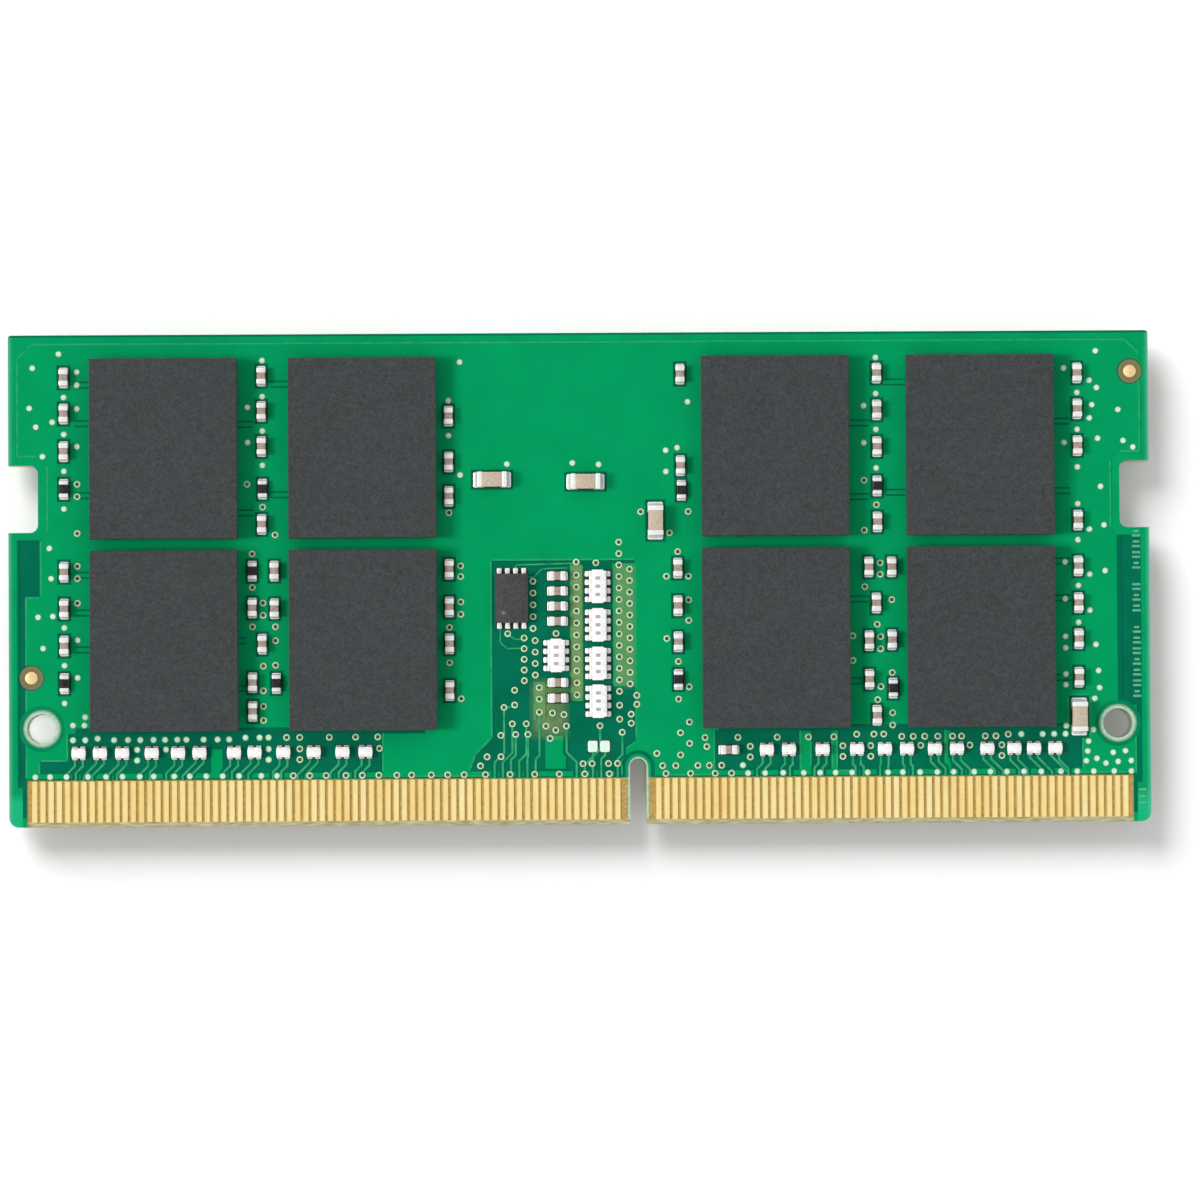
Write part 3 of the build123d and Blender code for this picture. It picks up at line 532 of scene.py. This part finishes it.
def rounded_slab(size, corner, height_low, height_high, edge=0.012):
    """A thin slab with round corners in plan and a broken upper edge."""
    half_x, half_y = size[0] / 2, size[1] / 2
    steps = 3
    rings = []
    for inset, z in ((0, height_low), (0, height_high - edge), (edge, height_high)):
        ring = []
        for quarter, (sign_x, sign_y) in enumerate(((1, 1), (-1, 1), (-1, -1), (1, -1))):
            for step in range(steps + 1):
                angle = math.radians(90 * (quarter + step / steps))
                radius = corner - inset
                x = sign_x * (half_x - corner) + radius * math.cos(angle)
                y = sign_y * (half_y - corner) + radius * math.sin(angle)
                ring.append((x, y, z))
        rings.append(ring)
    count = len(rings[0])
    points = np.array([point for ring in rings for point in ring])
    faces = [list(range(count))[::-1], list(range(2 * count, 3 * count))]
    for level in range(2):
        for i in range(count):
            j = (i + 1) % count
            low, high = level * count, (level + 1) * count
            faces.append([low + i, low + j, high + j, high + i])
    return [(points, faces, 0)]


def turned(profile, steps=16, indices=None):
    """A closed solid of revolution about Z from (radius, z) pairs that start and end on the axis."""
    points = [(0, 0, profile[0][1])]
    for radius, z in profile[1:-1]:
        for step in range(steps):
            angle = 2 * math.pi * step / steps
            points.append((radius * math.cos(angle), radius * math.sin(angle), z))
    points.append((0, 0, profile[-1][1]))
    last = len(points) - 1
    bands = len(profile) - 2
    parts = {}
    for step in range(steps):
        after = (step + 1) % steps
        band_faces = [[0, 1 + after, 1 + step]]
        for band in range(bands - 1):
            low, high = 1 + band * steps, 1 + (band + 1) * steps
            band_faces.append([low + step, low + after, high + after, high + step])
        top = 1 + (bands - 1) * steps
        band_faces.append([top + step, top + after, last])
        for band, face in enumerate(band_faces):
            parts.setdefault(indices[band] if indices else 0, []).append(face)
    points = np.array(points)
    return [(points, faces, index) for index, faces in parts.items()]


def fillet_shape(length, half_width, height, toe, sink):
    """Solder at the +X end of a chip: hollow, from high on the end face down to the toe of its land."""
    steps_out, steps_across = 5, 6
    points, faces = [], []
    rows = []
    for i in range(steps_out + 1):
        out = i / steps_out
        x = length / 2 - 0.02 + (toe + 0.02) * out
        top, bottom = [], []
        for j in range(steps_across + 1):
            side = 2 * j / steps_across - 1
            rise = (1 - out) ** 2.1 * (1 - 0.45 * abs(side) ** 3)
            y = side * half_width * (1 - 0.1 * out)
            top.append(len(points))
            points.append((x, y, -sink + 0.006 + (height + sink) * rise))
            bottom.append(len(points))
            points.append((x, y, -sink))
        rows.append((top, bottom))
    for i in range(steps_out):
        for j in range(steps_across):
            top_a, bottom_a = rows[i]
            top_b, bottom_b = rows[i + 1]
            faces.append([top_a[j], top_b[j], top_b[j + 1], top_a[j + 1]])
            faces.append([bottom_a[j], bottom_a[j + 1], bottom_b[j + 1], bottom_b[j]])
    for top, bottom, flip in ((*rows[0], False), (*rows[-1], True)):
        for j in range(steps_across):
            wall = [top[j], top[j + 1], bottom[j + 1], bottom[j]]
            faces.append(wall[::-1] if flip else wall)
    for i in range(steps_out):
        for j, flip in ((0, False), (steps_across, True)):
            wall = [rows[i][0][j], rows[i][1][j], rows[i + 1][1][j], rows[i + 1][0][j]]
            faces.append(wall[::-1] if flip else wall)
    return [(np.array(points), faces, 0)]


def moved(shape, x=0.0, y=0.0, z=0.0, turn=0.0, flip=False):
    """A copy of a shape, flipped over for the back of the board, then turned about Z and moved."""
    cos, sin = math.cos(math.radians(turn)), math.sin(math.radians(turn))
    out = []
    for points, faces, index in shape:
        if flip:
            points = points * (1, 1, -1)
            faces = [face[::-1] for face in faces]
        from_x, from_y, from_z = points.T
        turned_points = np.stack([from_x * cos - from_y * sin, from_x * sin + from_y * cos, from_z], axis=1)
        out.append((turned_points + (x, y, z), faces, index))
    return out


def piece(name, shapes, materials, slot, *replaced):
    """One object from shapes in millimetres, which rides on the board and stands for CAD nodes."""
    points, faces, indices, start = [], [], [], 0
    for part_points, part_faces, index in shapes:
        points.append(part_points)
        faces += [[start + corner for corner in face] for face in part_faces]
        indices += [index] * len(part_faces)
        start += len(part_points)
    mesh = bpy.data.meshes.new(name)
    mesh.from_pydata((np.concatenate(points) * mm).tolist(), [], faces)
    mesh.polygons.foreach_set("material_index", indices)
    finished(name, mesh, materials, slot, *replaced)


def finished(name, mesh, materials, slot, *replaced, smooth=35):
    """Puts a mesh in the scene as a piece with its materials, on the root body, and hides the nodes it
    replaces. The slot is not used.
    """
    bm = bmesh.new()
    bm.from_mesh(mesh)
    bmesh.ops.remove_doubles(bm, verts=bm.verts[:], dist=1e-8)
    bmesh.ops.recalc_face_normals(bm, faces=bm.faces[:])
    bm.to_mesh(mesh)
    bm.free()
    for key in materials:
        mesh.materials.append(paints[key])
    if smooth:
        mesh.shade_smooth()
        mesh.set_sharp_from_angle(angle=math.radians(smooth))
    thing = bpy.data.objects.new(name, mesh)
    bpy.context.scene.collection.objects.link(thing)
    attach(thing, "root")
    if replaced:
        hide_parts(*replaced)


# ---- Reading the frame ----
def islands(node):
    """The separate solids of a CAD node: the lowest and highest corner and the point count of each."""
    mesh = nodes[node].data
    places = np.empty(len(mesh.vertices) * 3)
    mesh.vertices.foreach_get("co", places)
    places = places.reshape(-1, 3) / mm
    keys, same = np.unique(np.round(places, 4), axis=0, return_inverse=True)
    same = same.ravel()
    edges = np.empty(len(mesh.edges) * 2, dtype=np.int64)
    mesh.edges.foreach_get("vertices", edges)
    edges = same[edges].reshape(-1, 2)
    label = np.arange(len(keys))
    while True:
        lowest = np.minimum(label[edges[:, 0]], label[edges[:, 1]])
        before = label.copy()
        np.minimum.at(label, edges[:, 0], lowest)
        np.minimum.at(label, edges[:, 1], lowest)
        label = label[label]
        if np.array_equal(before, label):
            break
    found = []
    for value in np.unique(label):
        own = keys[label == value]
        found.append((own.min(0), own.max(0), len(own)))
    return found


def centre_of(island):
    return (island[0] + island[1]) / 2


def chip_places(body_node, end_node):
    """Where each chip stands: x, y and the turn of its length, in millimetres and degrees."""
    ends = np.array([centre_of(island)[:2] for island in islands(end_node)])
    bodies = islands(body_node)
    places = []
    for island in bodies:
        middle = centre_of(island)[:2]
        size = island[1] - island[0]
        if len(ends) == 2 * len(bodies):
            nearest = ends[np.argsort(((ends - middle) ** 2).sum(1))[:2]]
            run = np.abs(nearest[0] - nearest[1])
            along_y = run[1] > run[0]
        else:
            along_y = size[1] < size[0]
        places.append((middle[0], middle[1], 90 if along_y else 0))
    return places


def top_outline(mesh, height):
    """Closed loops of points round the face of a mesh that lies at a height, longest box first."""
    bm = bmesh.new()
    bm.from_mesh(mesh)
    bmesh.ops.remove_doubles(bm, verts=bm.verts[:], dist=1e-7)
    rim = {}
    for edge in bm.edges:
        if all(abs(vertex.co.z - height) < 1e-6 for vertex in edge.verts):
            lying = [face for face in edge.link_faces if abs(face.normal.z) > 0.9]
            if len(lying) == 1 and len(edge.link_faces) == 2:
                a, b = edge.verts
                rim.setdefault(a.index, []).append(b.index)
                rim.setdefault(b.index, []).append(a.index)
    bm.verts.ensure_lookup_table()
    loops, seen = [], set()
    for start in rim:
        if start in seen or len(rim[start]) != 2:
            continue
        loop, last, here = [start], None, start
        while True:
            seen.add(here)
            following = [other for other in rim[here] if other != last]
            last, here = here, following[0]
            if here == start or here in seen:
                break
            loop.append(here)
        loops.append(np.array([bm.verts[i].co[:2] for i in loop]) / mm)
    bm.free()
    return sorted(loops, key=lambda loop: -np.prod(np.ptp(loop, axis=0)))


def straight_lines(loop, width, low, high):
    """A flat line just inside each long straight side of a closed loop."""
    least = 0.6
    area = np.sum(loop[:, 0] * np.roll(loop[:, 1], -1) - np.roll(loop[:, 0], -1) * loop[:, 1])
    inward = 1 if area > 0 else -1
    shapes = []
    for start, end in zip(loop, np.roll(loop, -1, axis=0)):
        run = end - start
        length = np.linalg.norm(run)
        # The copper's rim doesn't show low on the left side, above the packs and beside the right strip.
        hidden = (
            (start[0] < -34 and start[1] < 2.4 and end[0] < -34)
            or (-9.8 < start[1] < -8.8 and -9.8 < end[1] < -8.8)
            or (32.8 < start[0] < 33.4 and 32.8 < end[0] < 33.4 and max(start[1], end[1]) < 2.8)
        )
        if length < least or hidden:
            continue
        middle = (start + end) / 2 + np.array((-run[1], run[0])) / length * inward * width / 2
        line = rounded_slab((length - width, width), width * 0.4, low, high, edge=0.002)
        shapes += moved(line, *middle, turn=math.degrees(math.atan2(run[1], run[0])))
    return shapes


# ---- The board ----
def layer_copy(name, node, low, high, materials, slot, *replaced):
    """A flat-sided copy of a CAD layer's mesh, squeezed between two levels in metres."""
    source = nodes[node].data
    places = np.empty(len(source.vertices) * 3)
    source.vertices.foreach_get("co", places)
    places = places.reshape(-1, 3)
    bottom, top = places[:, 2].min(), places[:, 2].max()
    places[:, 2] = low + (places[:, 2] - bottom) * (high - low) / (top - bottom)
    mesh = bpy.data.meshes.new(name)
    mesh.from_pydata(places.tolist(), [], [tuple(face.vertices) for face in source.polygons])
    finished(name, mesh, materials, slot, *replaced, smooth=0)


def solder_mask(side):
    """The resist of one face: a lower film over the laminate and a raised one over the copper."""
    out = outward[side]
    surface = face_z[side] / mm
    node = f"solder_mask_{side}"
    film_above, film_below, raised_depth = 0.002 * mm, 0.03 * mm, 0.035 * mm
    lower = sorted((copper_z[side] + out * film_above, copper_z[side] - out * film_below))
    layer_copy(f"mask_film_{side}", node, *lower, ["mask_low"], "solder_mask", node)
    raised = sorted((face_z[side], face_z[side] - out * raised_depth))
    layer_copy(f"mask_over_pour_{side}", f"ground_pour_{side}", *raised, ["mask_high"], "solder_mask")
    if side == "front":
        # Over the tracks the resist carries a painted highlight.
        layer_copy("mask_over_tracks_front", "tracks_front", *raised, ["mask_track"], "solder_mask")
    outline = top_outline(nodes[f"ground_pour_{side}"].data, copper_z[side])[0]
    rim_width = 0.11
    levels = sorted((surface - out * 0.04, surface + out * 0.004))
    # The line along the copper's rim carries a painted highlight.
    piece(f"mask_edge_line_{side}", straight_lines(outline, rim_width, *levels), ["mask_edge"], "solder_mask")


def link_lines():
    """The dark gaps beside the tracks that leave the chips for the packages."""
    surface = face_z["front"] / mm
    shapes = []
    for start, end, heights in links:
        line = rounded_slab((end - start, link_gap), 0.04, -0.02, 0.003, edge=0.002)
        for middle in heights:
            for offset in (-link_spread / 2, link_spread / 2):
                shapes += moved(line, (start + end) / 2, middle + offset, surface)
    piece("track_gaps_front", shapes, ["mask_low"], "solder_mask")


def fine_track_lines():
    """Short tracks under the mask from the configuration chip to the vias beside it."""
    surface = face_z["front"] / mm
    shapes = []
    for route in fine_tracks:
        for start, end in zip(route, route[1:]):
            run = (end[0] - start[0], end[1] - start[1])
            size = (math.hypot(*run) + track_width * 0.6, track_width)
            line = rounded_slab(size, 0.04, -0.04, -0.001, edge=0.004)
            middle = ((start[0] + end[0]) / 2, (start[1] + end[1]) / 2)
            shapes += moved(line, *middle, surface, turn=math.degrees(math.atan2(run[1], run[0])))
    # These tracks carry the same painted highlight as the resist over the other tracks.
    piece("fine_tracks_front", shapes, ["mask_track"], "solder_mask")


def vias():
    """Tented vias: pale domes at the top and sides of the board, dimpled rings elsewhere."""
    surface = face_z["front"] / mm
    foot = ((0, -0.04), (via_radius, -0.04))
    crown = ((via_radius, 0.003), (0.15, 0.009), (0.08, 0.014), (0, 0.015))
    dome = turned((*foot, *crown), indices=(0, 0, 0, 1, 1))
    dish = ((via_radius, 0.004), (0.18, 0.012), (0.12, 0.012), (0.1, -0.006), (0, -0.01))
    ring = turned((*foot, *dish), indices=(0, 0, 0, 0, 1, 1))
    domes, rings = [], []
    for x, y in [centre_of(island)[:2] for island in islands("vias_front")] + list(extra_vias):
        if any(low_x < x < high_x and low_y < y < high_y for low_x, low_y, high_x, high_y in solid_vias):
            domes += moved(dome, x, y, surface)
        else:
            rings += moved(ring, x, y, surface)
    piece("via_domes_front", domes, ["via_halo", "via_pale"], "solder_mask")
    piece("via_rings_front", rings, ["via_ring", "via_hole"], "solder_mask")


def strip_marks():
    """Plain pairs of pale bars on the bare strip at the right, and three more in the corner below it."""
    surface = face_z["front"] / mm
    levels = (-0.04, 0.003)
    strip_x, strip_top, strip_pitch = 33.99, 2.58, 0.653
    corner_x, corner_top, corner_pitch = 34.28, -13.06, 0.4
    blanks = (4, 8)
    shapes = []
    for step in [step for step in range(16) if step not in blanks]:
        for offset, length in ((-0.14, 0.52), (0.14, 0.34 + 0.09 * (step % 3))):
            bar = rounded_slab((length, 0.14), 0.06, *levels, edge=0.002)
            shapes += moved(bar, strip_x, strip_top - strip_pitch * step + offset, surface)
    for step in range(3):
        bar = rounded_slab((0.45, 0.12), 0.05, *levels, edge=0.002)
        shapes += moved(bar, corner_x, corner_top - corner_pitch * step, surface)
    piece("strip_marks_front", shapes, ["strip_mark"], "solder_mask")


def contacts(side):
    """Gold contacts with round corners and broken edges."""
    out = outward[side]
    shapes = []
    for low, high, _ in islands(f"contacts_{side}"):
        size = high - low
        bar = rounded_slab((size[0], size[1]), 0.05, 0, size[2], edge=0.012)
        shapes += moved(bar, *((low + high) / 2)[:2], low[2] if out > 0 else high[2], flip=out < 0)
    piece(f"gold_contacts_{side}", shapes, ["gold"], "gold", f"contacts_{side}")


def lands(side):
    """Tinned lands with round corners, and on the front the two bare copper dots."""
    out = outward[side]
    # Only the round fiducials have more points than this.
    most_box_points = 12
    pads, dots = [], []
    for low, high, points in islands(f"lands_{side}"):
        size = high - low
        x, y, _ = (low + high) / 2
        z = low[2] if out > 0 else high[2]
        if points > most_box_points:
            radius = size[0] / 2
            profile = ((0, 0), (radius, 0), (radius, 0.03), (radius - 0.03, 0.045), (0, 0.05))
            dots += moved(turned(profile, 32), x, y, z)
        else:
            pads += moved(rounded_slab((size[0], size[1]), 0.1, 0, size[2]), x, y, z, flip=out < 0)
    piece(f"tinned_lands_{side}", pads, ["land_tin"], "tin_terminal", f"lands_{side}")
    if dots:
        piece("fiducial_dots_front", dots, ["fiducial"], "copper")


# ---- Chips ----
# Sizes of each kind in millimetres. Terminal and blade are the length and width of one terminal, rows
# the terminals at each end and toe how far the solder runs out from them.
Kind = namedtuple("Kind", "length width height terminal blade rows pitch toe body_paint")
kinds = {
    "capacitor": Kind(1.0, 0.5, 0.5, 0.32, 0.56, 1, 0, 0.11, "capacitor"),
    "resistor": Kind(1.0, 0.52, 0.32, 0.22, 0.56, 1, 0, 0.13, "alumina"),
    "large_capacitor": Kind(1.8, 0.89, 0.85, 0.3, 0.95, 1, 0, 0.25, "large_capacitor"),
    "array": Kind(1.05, 2.04, 0.4, 0.2, 0.34, 4, 0.52, 0.26, "overglaze"),
    "pack": Kind(0.62, 0.86, 0.36, 0.16, 0.34, 2, 0.48, 0.1, "overglaze"),
}
# Solder reaches down through the mask.
solder_sink = (mask_high.z - mask_low.z) / mm


def chip_shapes(kind):
    """The body, terminals and solder of one chip along X, each as a shape on a board face at z 0."""
    length, width, height, terminal, blade, rows, pitch, toe, _ = kinds[kind]
    offsets = [pitch * (row - (rows - 1) / 2) for row in range(rows)]
    if rows == 1:
        body = rounded_box((length - 2 * terminal + 0.06, width, height - 0.03), (0, 0, height / 2), 0.02)
    else:
        # The white top runs the full length, over terminals that fill the bites in its ends.
        core = length - 2 * terminal + 0.05
        body = rounded_box((core, width, height), (0, 0, height / 2), 0.03)
        tab = (length, pitch - blade, height - 0.03)
        for offset in offsets[:-1]:
            body += rounded_box(tab, (0, offset + pitch / 2, height / 2), 0.03)
    ends, solder = [], []
    for way in (-1, 1):
        for offset in offsets:
            middle = way * (length - terminal) / 2
            bulk = (terminal, blade, height + (0.005 if rows == 1 else -0.01))
            ends += rounded_box(bulk, (middle, offset, height / 2), 0.055 if rows == 1 else 0.04, 3)
            fillet = fillet_shape(length, blade * 0.48, height * 0.62, toe, solder_sink)
            solder += moved(fillet, 0, offset if way > 0 else -offset, 0, 0 if way > 0 else 180)
            bed = rounded_slab((terminal, blade * 0.92), 0.03, -solder_sink, 0.02, edge=0.008)
            solder += moved(bed, middle, offset)
    return body, ends, solder


def chips(side):
    """Every chip of one face."""
    surface = face_z[side] / mm
    over = outward[side] < 0
    solder = []
    for kind, sizes in kinds.items():
        body_node, end_node = f"{kind}_bodies_{side}", f"{kind}_ends_{side}"
        if body_node not in nodes:
            continue
        body, ends, joints = chip_shapes(kind)
        bodies, terminals, marks = [], [], []
        for x, y, turn in chip_places(body_node, end_node):
            bodies += moved(body, x, y, surface, turn, over)
            terminals += moved(ends, x, y, surface, turn, over)
            solder += moved(joints, x, y, surface, turn, over)
            if kind == "array":
                levels = (sizes.height - 0.01, sizes.height + 0.004)
                for step in (-0.5, 0, 0.5):
                    dash = rounded_slab((0.3, 0.2), 0.05, *levels, edge=0.002)
                    marks += moved(moved(dash, 0, step), x, y, surface, turn, over)
        slot = "capacitor_ceramic" if "capacitor" in kind else "resistor_ceramic"
        piece(f"{kind}_blocks_{side}", bodies, [sizes.body_paint], slot, body_node)
        piece(f"{kind}_terminals_{side}", terminals, ["tin"], "tin_terminal", end_node)
        if marks:
            piece("array_marks_front", marks, ["mark"], "resistor_coating")
    if side == "front":
        # The two pads of a part that isn't fitted are the only solder of this thickness.
        thinnest, thickest = 0.06, 0.08
        pads = []
        for low, high, _ in islands("solder_fillets_front"):
            size = high - low
            if thinnest < size[2] < thickest:
                pad = rounded_slab((size[0], size[1]), 0.13, 0, size[2], edge=0.04)
                pads += moved(pad, *((low + high) / 2)[:2], low[2])
        piece("spare_pads_front", pads, ["land_tin"], "solder")
    piece(f"solder_joints_{side}", solder, ["solder"], "solder", f"solder_fillets_{side}")


def resistor_tops():
    """The black coating on each single resistor, domed a little."""
    shapes = []
    for low, high, _ in islands("resistor_coatings_front"):
        size = high - low
        top = rounded_box((size[0] - 0.02, size[1] - 0.02, 0.05), (0, 0, 0.008), 0.02, 3)
        shapes += moved(top, *((low + high) / 2)[:2], low[2])
    piece("resistor_tops_front", shapes, ["coating"], "resistor_coating", "resistor_coatings_front")


def configuration_chip():
    """The small memory chip that describes the module, with its eight lead toes."""
    case, leads = "configuration_chip_body", "configuration_chip_leads"
    low, high = (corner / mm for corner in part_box(case))
    centre, size = (low + high) / 2, high - low
    body = rounded_box(tuple(size), tuple(centre), 0.05)
    dimple = turned(((0, -0.02), (0.13, -0.02), (0.13, 0.002), (0.1, 0.004), (0, 0.004)), 20)
    body += [(points, faces, 1) for points, faces, _ in moved(dimple, low.x + 0.5, low.y + 0.62, high.z)]
    piece("configuration_chip_case", body, ["chip_mould", "dimple"], "mould_compound", case)
    # The leads are narrower than the paddle in their middle, which the case hides.
    widest_lead = 0.5
    toes = []
    for start, end, _ in islands(leads):
        extent = end - start
        x, y, _ = (start + end) / 2
        if extent[0] < widest_lead:
            toe = (extent[0], extent[1], extent[2] + 0.03)
            toes += rounded_box(toe, (x, y, start[2] + extent[2] / 2), 0.06, 3)
            pool_y = y + math.copysign(extent[1] / 2, y - centre.y)
            toes += rounded_box((extent[0] + 0.03, 0.26, 0.09), (x, pool_y, start[2] + 0.012), 0.04, 3)
    piece("configuration_chip_toes", toes, ["tin"], "lead_frame", leads)


for side in ("front", "back"):
    solder_mask(side)
    contacts(side)
    lands(side)
    chips(side)
link_lines()
fine_track_lines()
strip_marks()
vias()
resistor_tops()
configuration_chip()

# ---- CAD nodes that keep their own shape ----
kept_paints = {
    "core_laminate": "laminate",
    "prepreg": "laminate",
    "ground_plane": "copper",
    "power_plane": "copper",
    "ground_pour": "copper",
    "vias": "copper",
    "tracks": "copper",
    "package_cap": "mould",
    "memory_dies": "silicon",
    "package_substrates": "substrate",
    "window_seals": "resin",
    "solder_balls": "solder",
}
for name, thing in nodes.items():
    for label, key in kept_paints.items():
        if name.startswith(label):
            thing.data.materials.clear()
            thing.data.materials.append(paints[key])

# ---- Floor ----
floor_side = 3.0
floor_gap = 0.02 * mm
bm = bmesh.new()
bmesh.ops.create_grid(bm, x_segments=24, y_segments=24, size=floor_side / 2)
floor_mesh = bpy.data.meshes.new("floor")
bm.to_mesh(floor_mesh)
bm.free()
floor = bpy.data.objects.new("floor", floor_mesh)
floor.location = (0, 0, cad_low.z - floor_gap)
bpy.context.scene.collection.objects.link(floor)
paper = Paint("paper", roughness=0.9, specular=0.1)
paper_dark, paper_light = (0.695, 0.695, 0.695), (0.705, 0.705, 0.705)
paper.colour(paper.ramp(paper.noise(6.0, detail=3), (0.3, paper_dark), (0.7, paper_light)))
floor_mesh.materials.append(paper.material)

# ---- Light: a key from the left, the floor's own from the upper left, and a dome dark overhead ----
scene = bpy.context.scene
scene.view_settings.view_transform = "Standard"


def sun(name, direction, strength, softness):
    """A sun lamp that shines along a direction, softness degrees across."""
    light = bpy.data.lights.new(name, "SUN")
    light.energy = strength
    light.angle = math.radians(softness)
    lamp = bpy.data.objects.new(name, light)
    lamp.rotation_mode = "QUATERNION"
    lamp.rotation_quaternion = Vector(direction).to_track_quat("-Z", "Y")
    scene.collection.objects.link(lamp)
    return lamp


key_light = sun("key", (1.3, 0.06, -1.2), 1.94, 20)
floor_only = bpy.data.collections.new("floor_only")
floor_only.objects.link(floor)
floor_light = sun("floor_key", (2.25, -3.1, -2.6), 4.2, 38)
floor_light.light_linking.receiver_collection = floor_only
floor_top = sun("floor_top", (0, 0, -1), 0.6, 5)
floor_top.light_linking.receiver_collection = floor_only
not_floor = bpy.data.collections.new("not_floor")
not_floor.objects.link(floor)
key_light.light_linking.receiver_collection = not_floor
not_floor.collection_objects[0].light_linking.link_state = "EXCLUDE"

# A narrow spot straight above the left hole lights the floor under it, for light from the left that reaches
# in under the board as far as the left hole.
spot = bpy.data.lights.new("floor_left", "SPOT")
spot.energy = 0.43
spot.spot_size = math.radians(1.05)
spot.spot_blend = 0.3
spot.shadow_soft_size = 0.0005
hole_lamp = bpy.data.objects.new("floor_left", spot)
hole_lamp.location = Vector((*holes[0], 126)) * mm
scene.collection.objects.link(hole_lamp)
hole_lamp.light_linking.receiver_collection = floor_only

world = bpy.data.worlds.new("studio")
scene.world = world
world.use_nodes = True
tree = world.node_tree
sky = tree.nodes["Background"]
direction = tree.nodes.new("ShaderNodeTexCoord")
parts = tree.nodes.new("ShaderNodeSeparateXYZ")
tree.links.new(direction.outputs["Generated"], parts.inputs[0])
dome = tree.nodes.new("ShaderNodeValToRGB")
dome.color_ramp.elements[0].position = 0.1
dome.color_ramp.elements[0].color = (0.98, 0.98, 0.98, 1)
dome.color_ramp.elements[1].position = 0.97
dome.color_ramp.elements[1].color = (0.12, 0.12, 0.12, 1)
middle = dome.color_ramp.elements.new(0.8)
middle.color = (0.95, 0.95, 0.95, 1)
tree.links.new(parts.outputs[2], dome.inputs[0])
tree.links.new(dome.outputs[0], sky.inputs["Color"])
horizon = tree.nodes.new("ShaderNodeMapRange")
horizon.inputs["From Min"].default_value = 0.1
horizon.inputs["From Max"].default_value = 0.14
horizon.inputs["To Min"].default_value = 1.15
horizon.inputs["To Max"].default_value = 0.87
tree.links.new(parts.outputs[2], horizon.inputs["Value"])
tree.links.new(horizon.outputs[0], sky.inputs["Strength"])

# ---- Camera: a long lens almost straight above the board ----
camera_place = Vector((-4.472, -13.016, 408.787)) * mm
camera_turn = (1.652, -0.794, -0.337)
lens = bpy.data.cameras.new("camera")
lens.lens = 200
lens.sensor_width = 36
lens.clip_start = 0.01
lens.clip_end = 20
camera = bpy.data.objects.new("camera", lens)
camera.location = camera_place
camera.rotation_euler = [math.radians(angle) for angle in camera_turn]
scene.collection.objects.link(camera)
scene.camera = camera
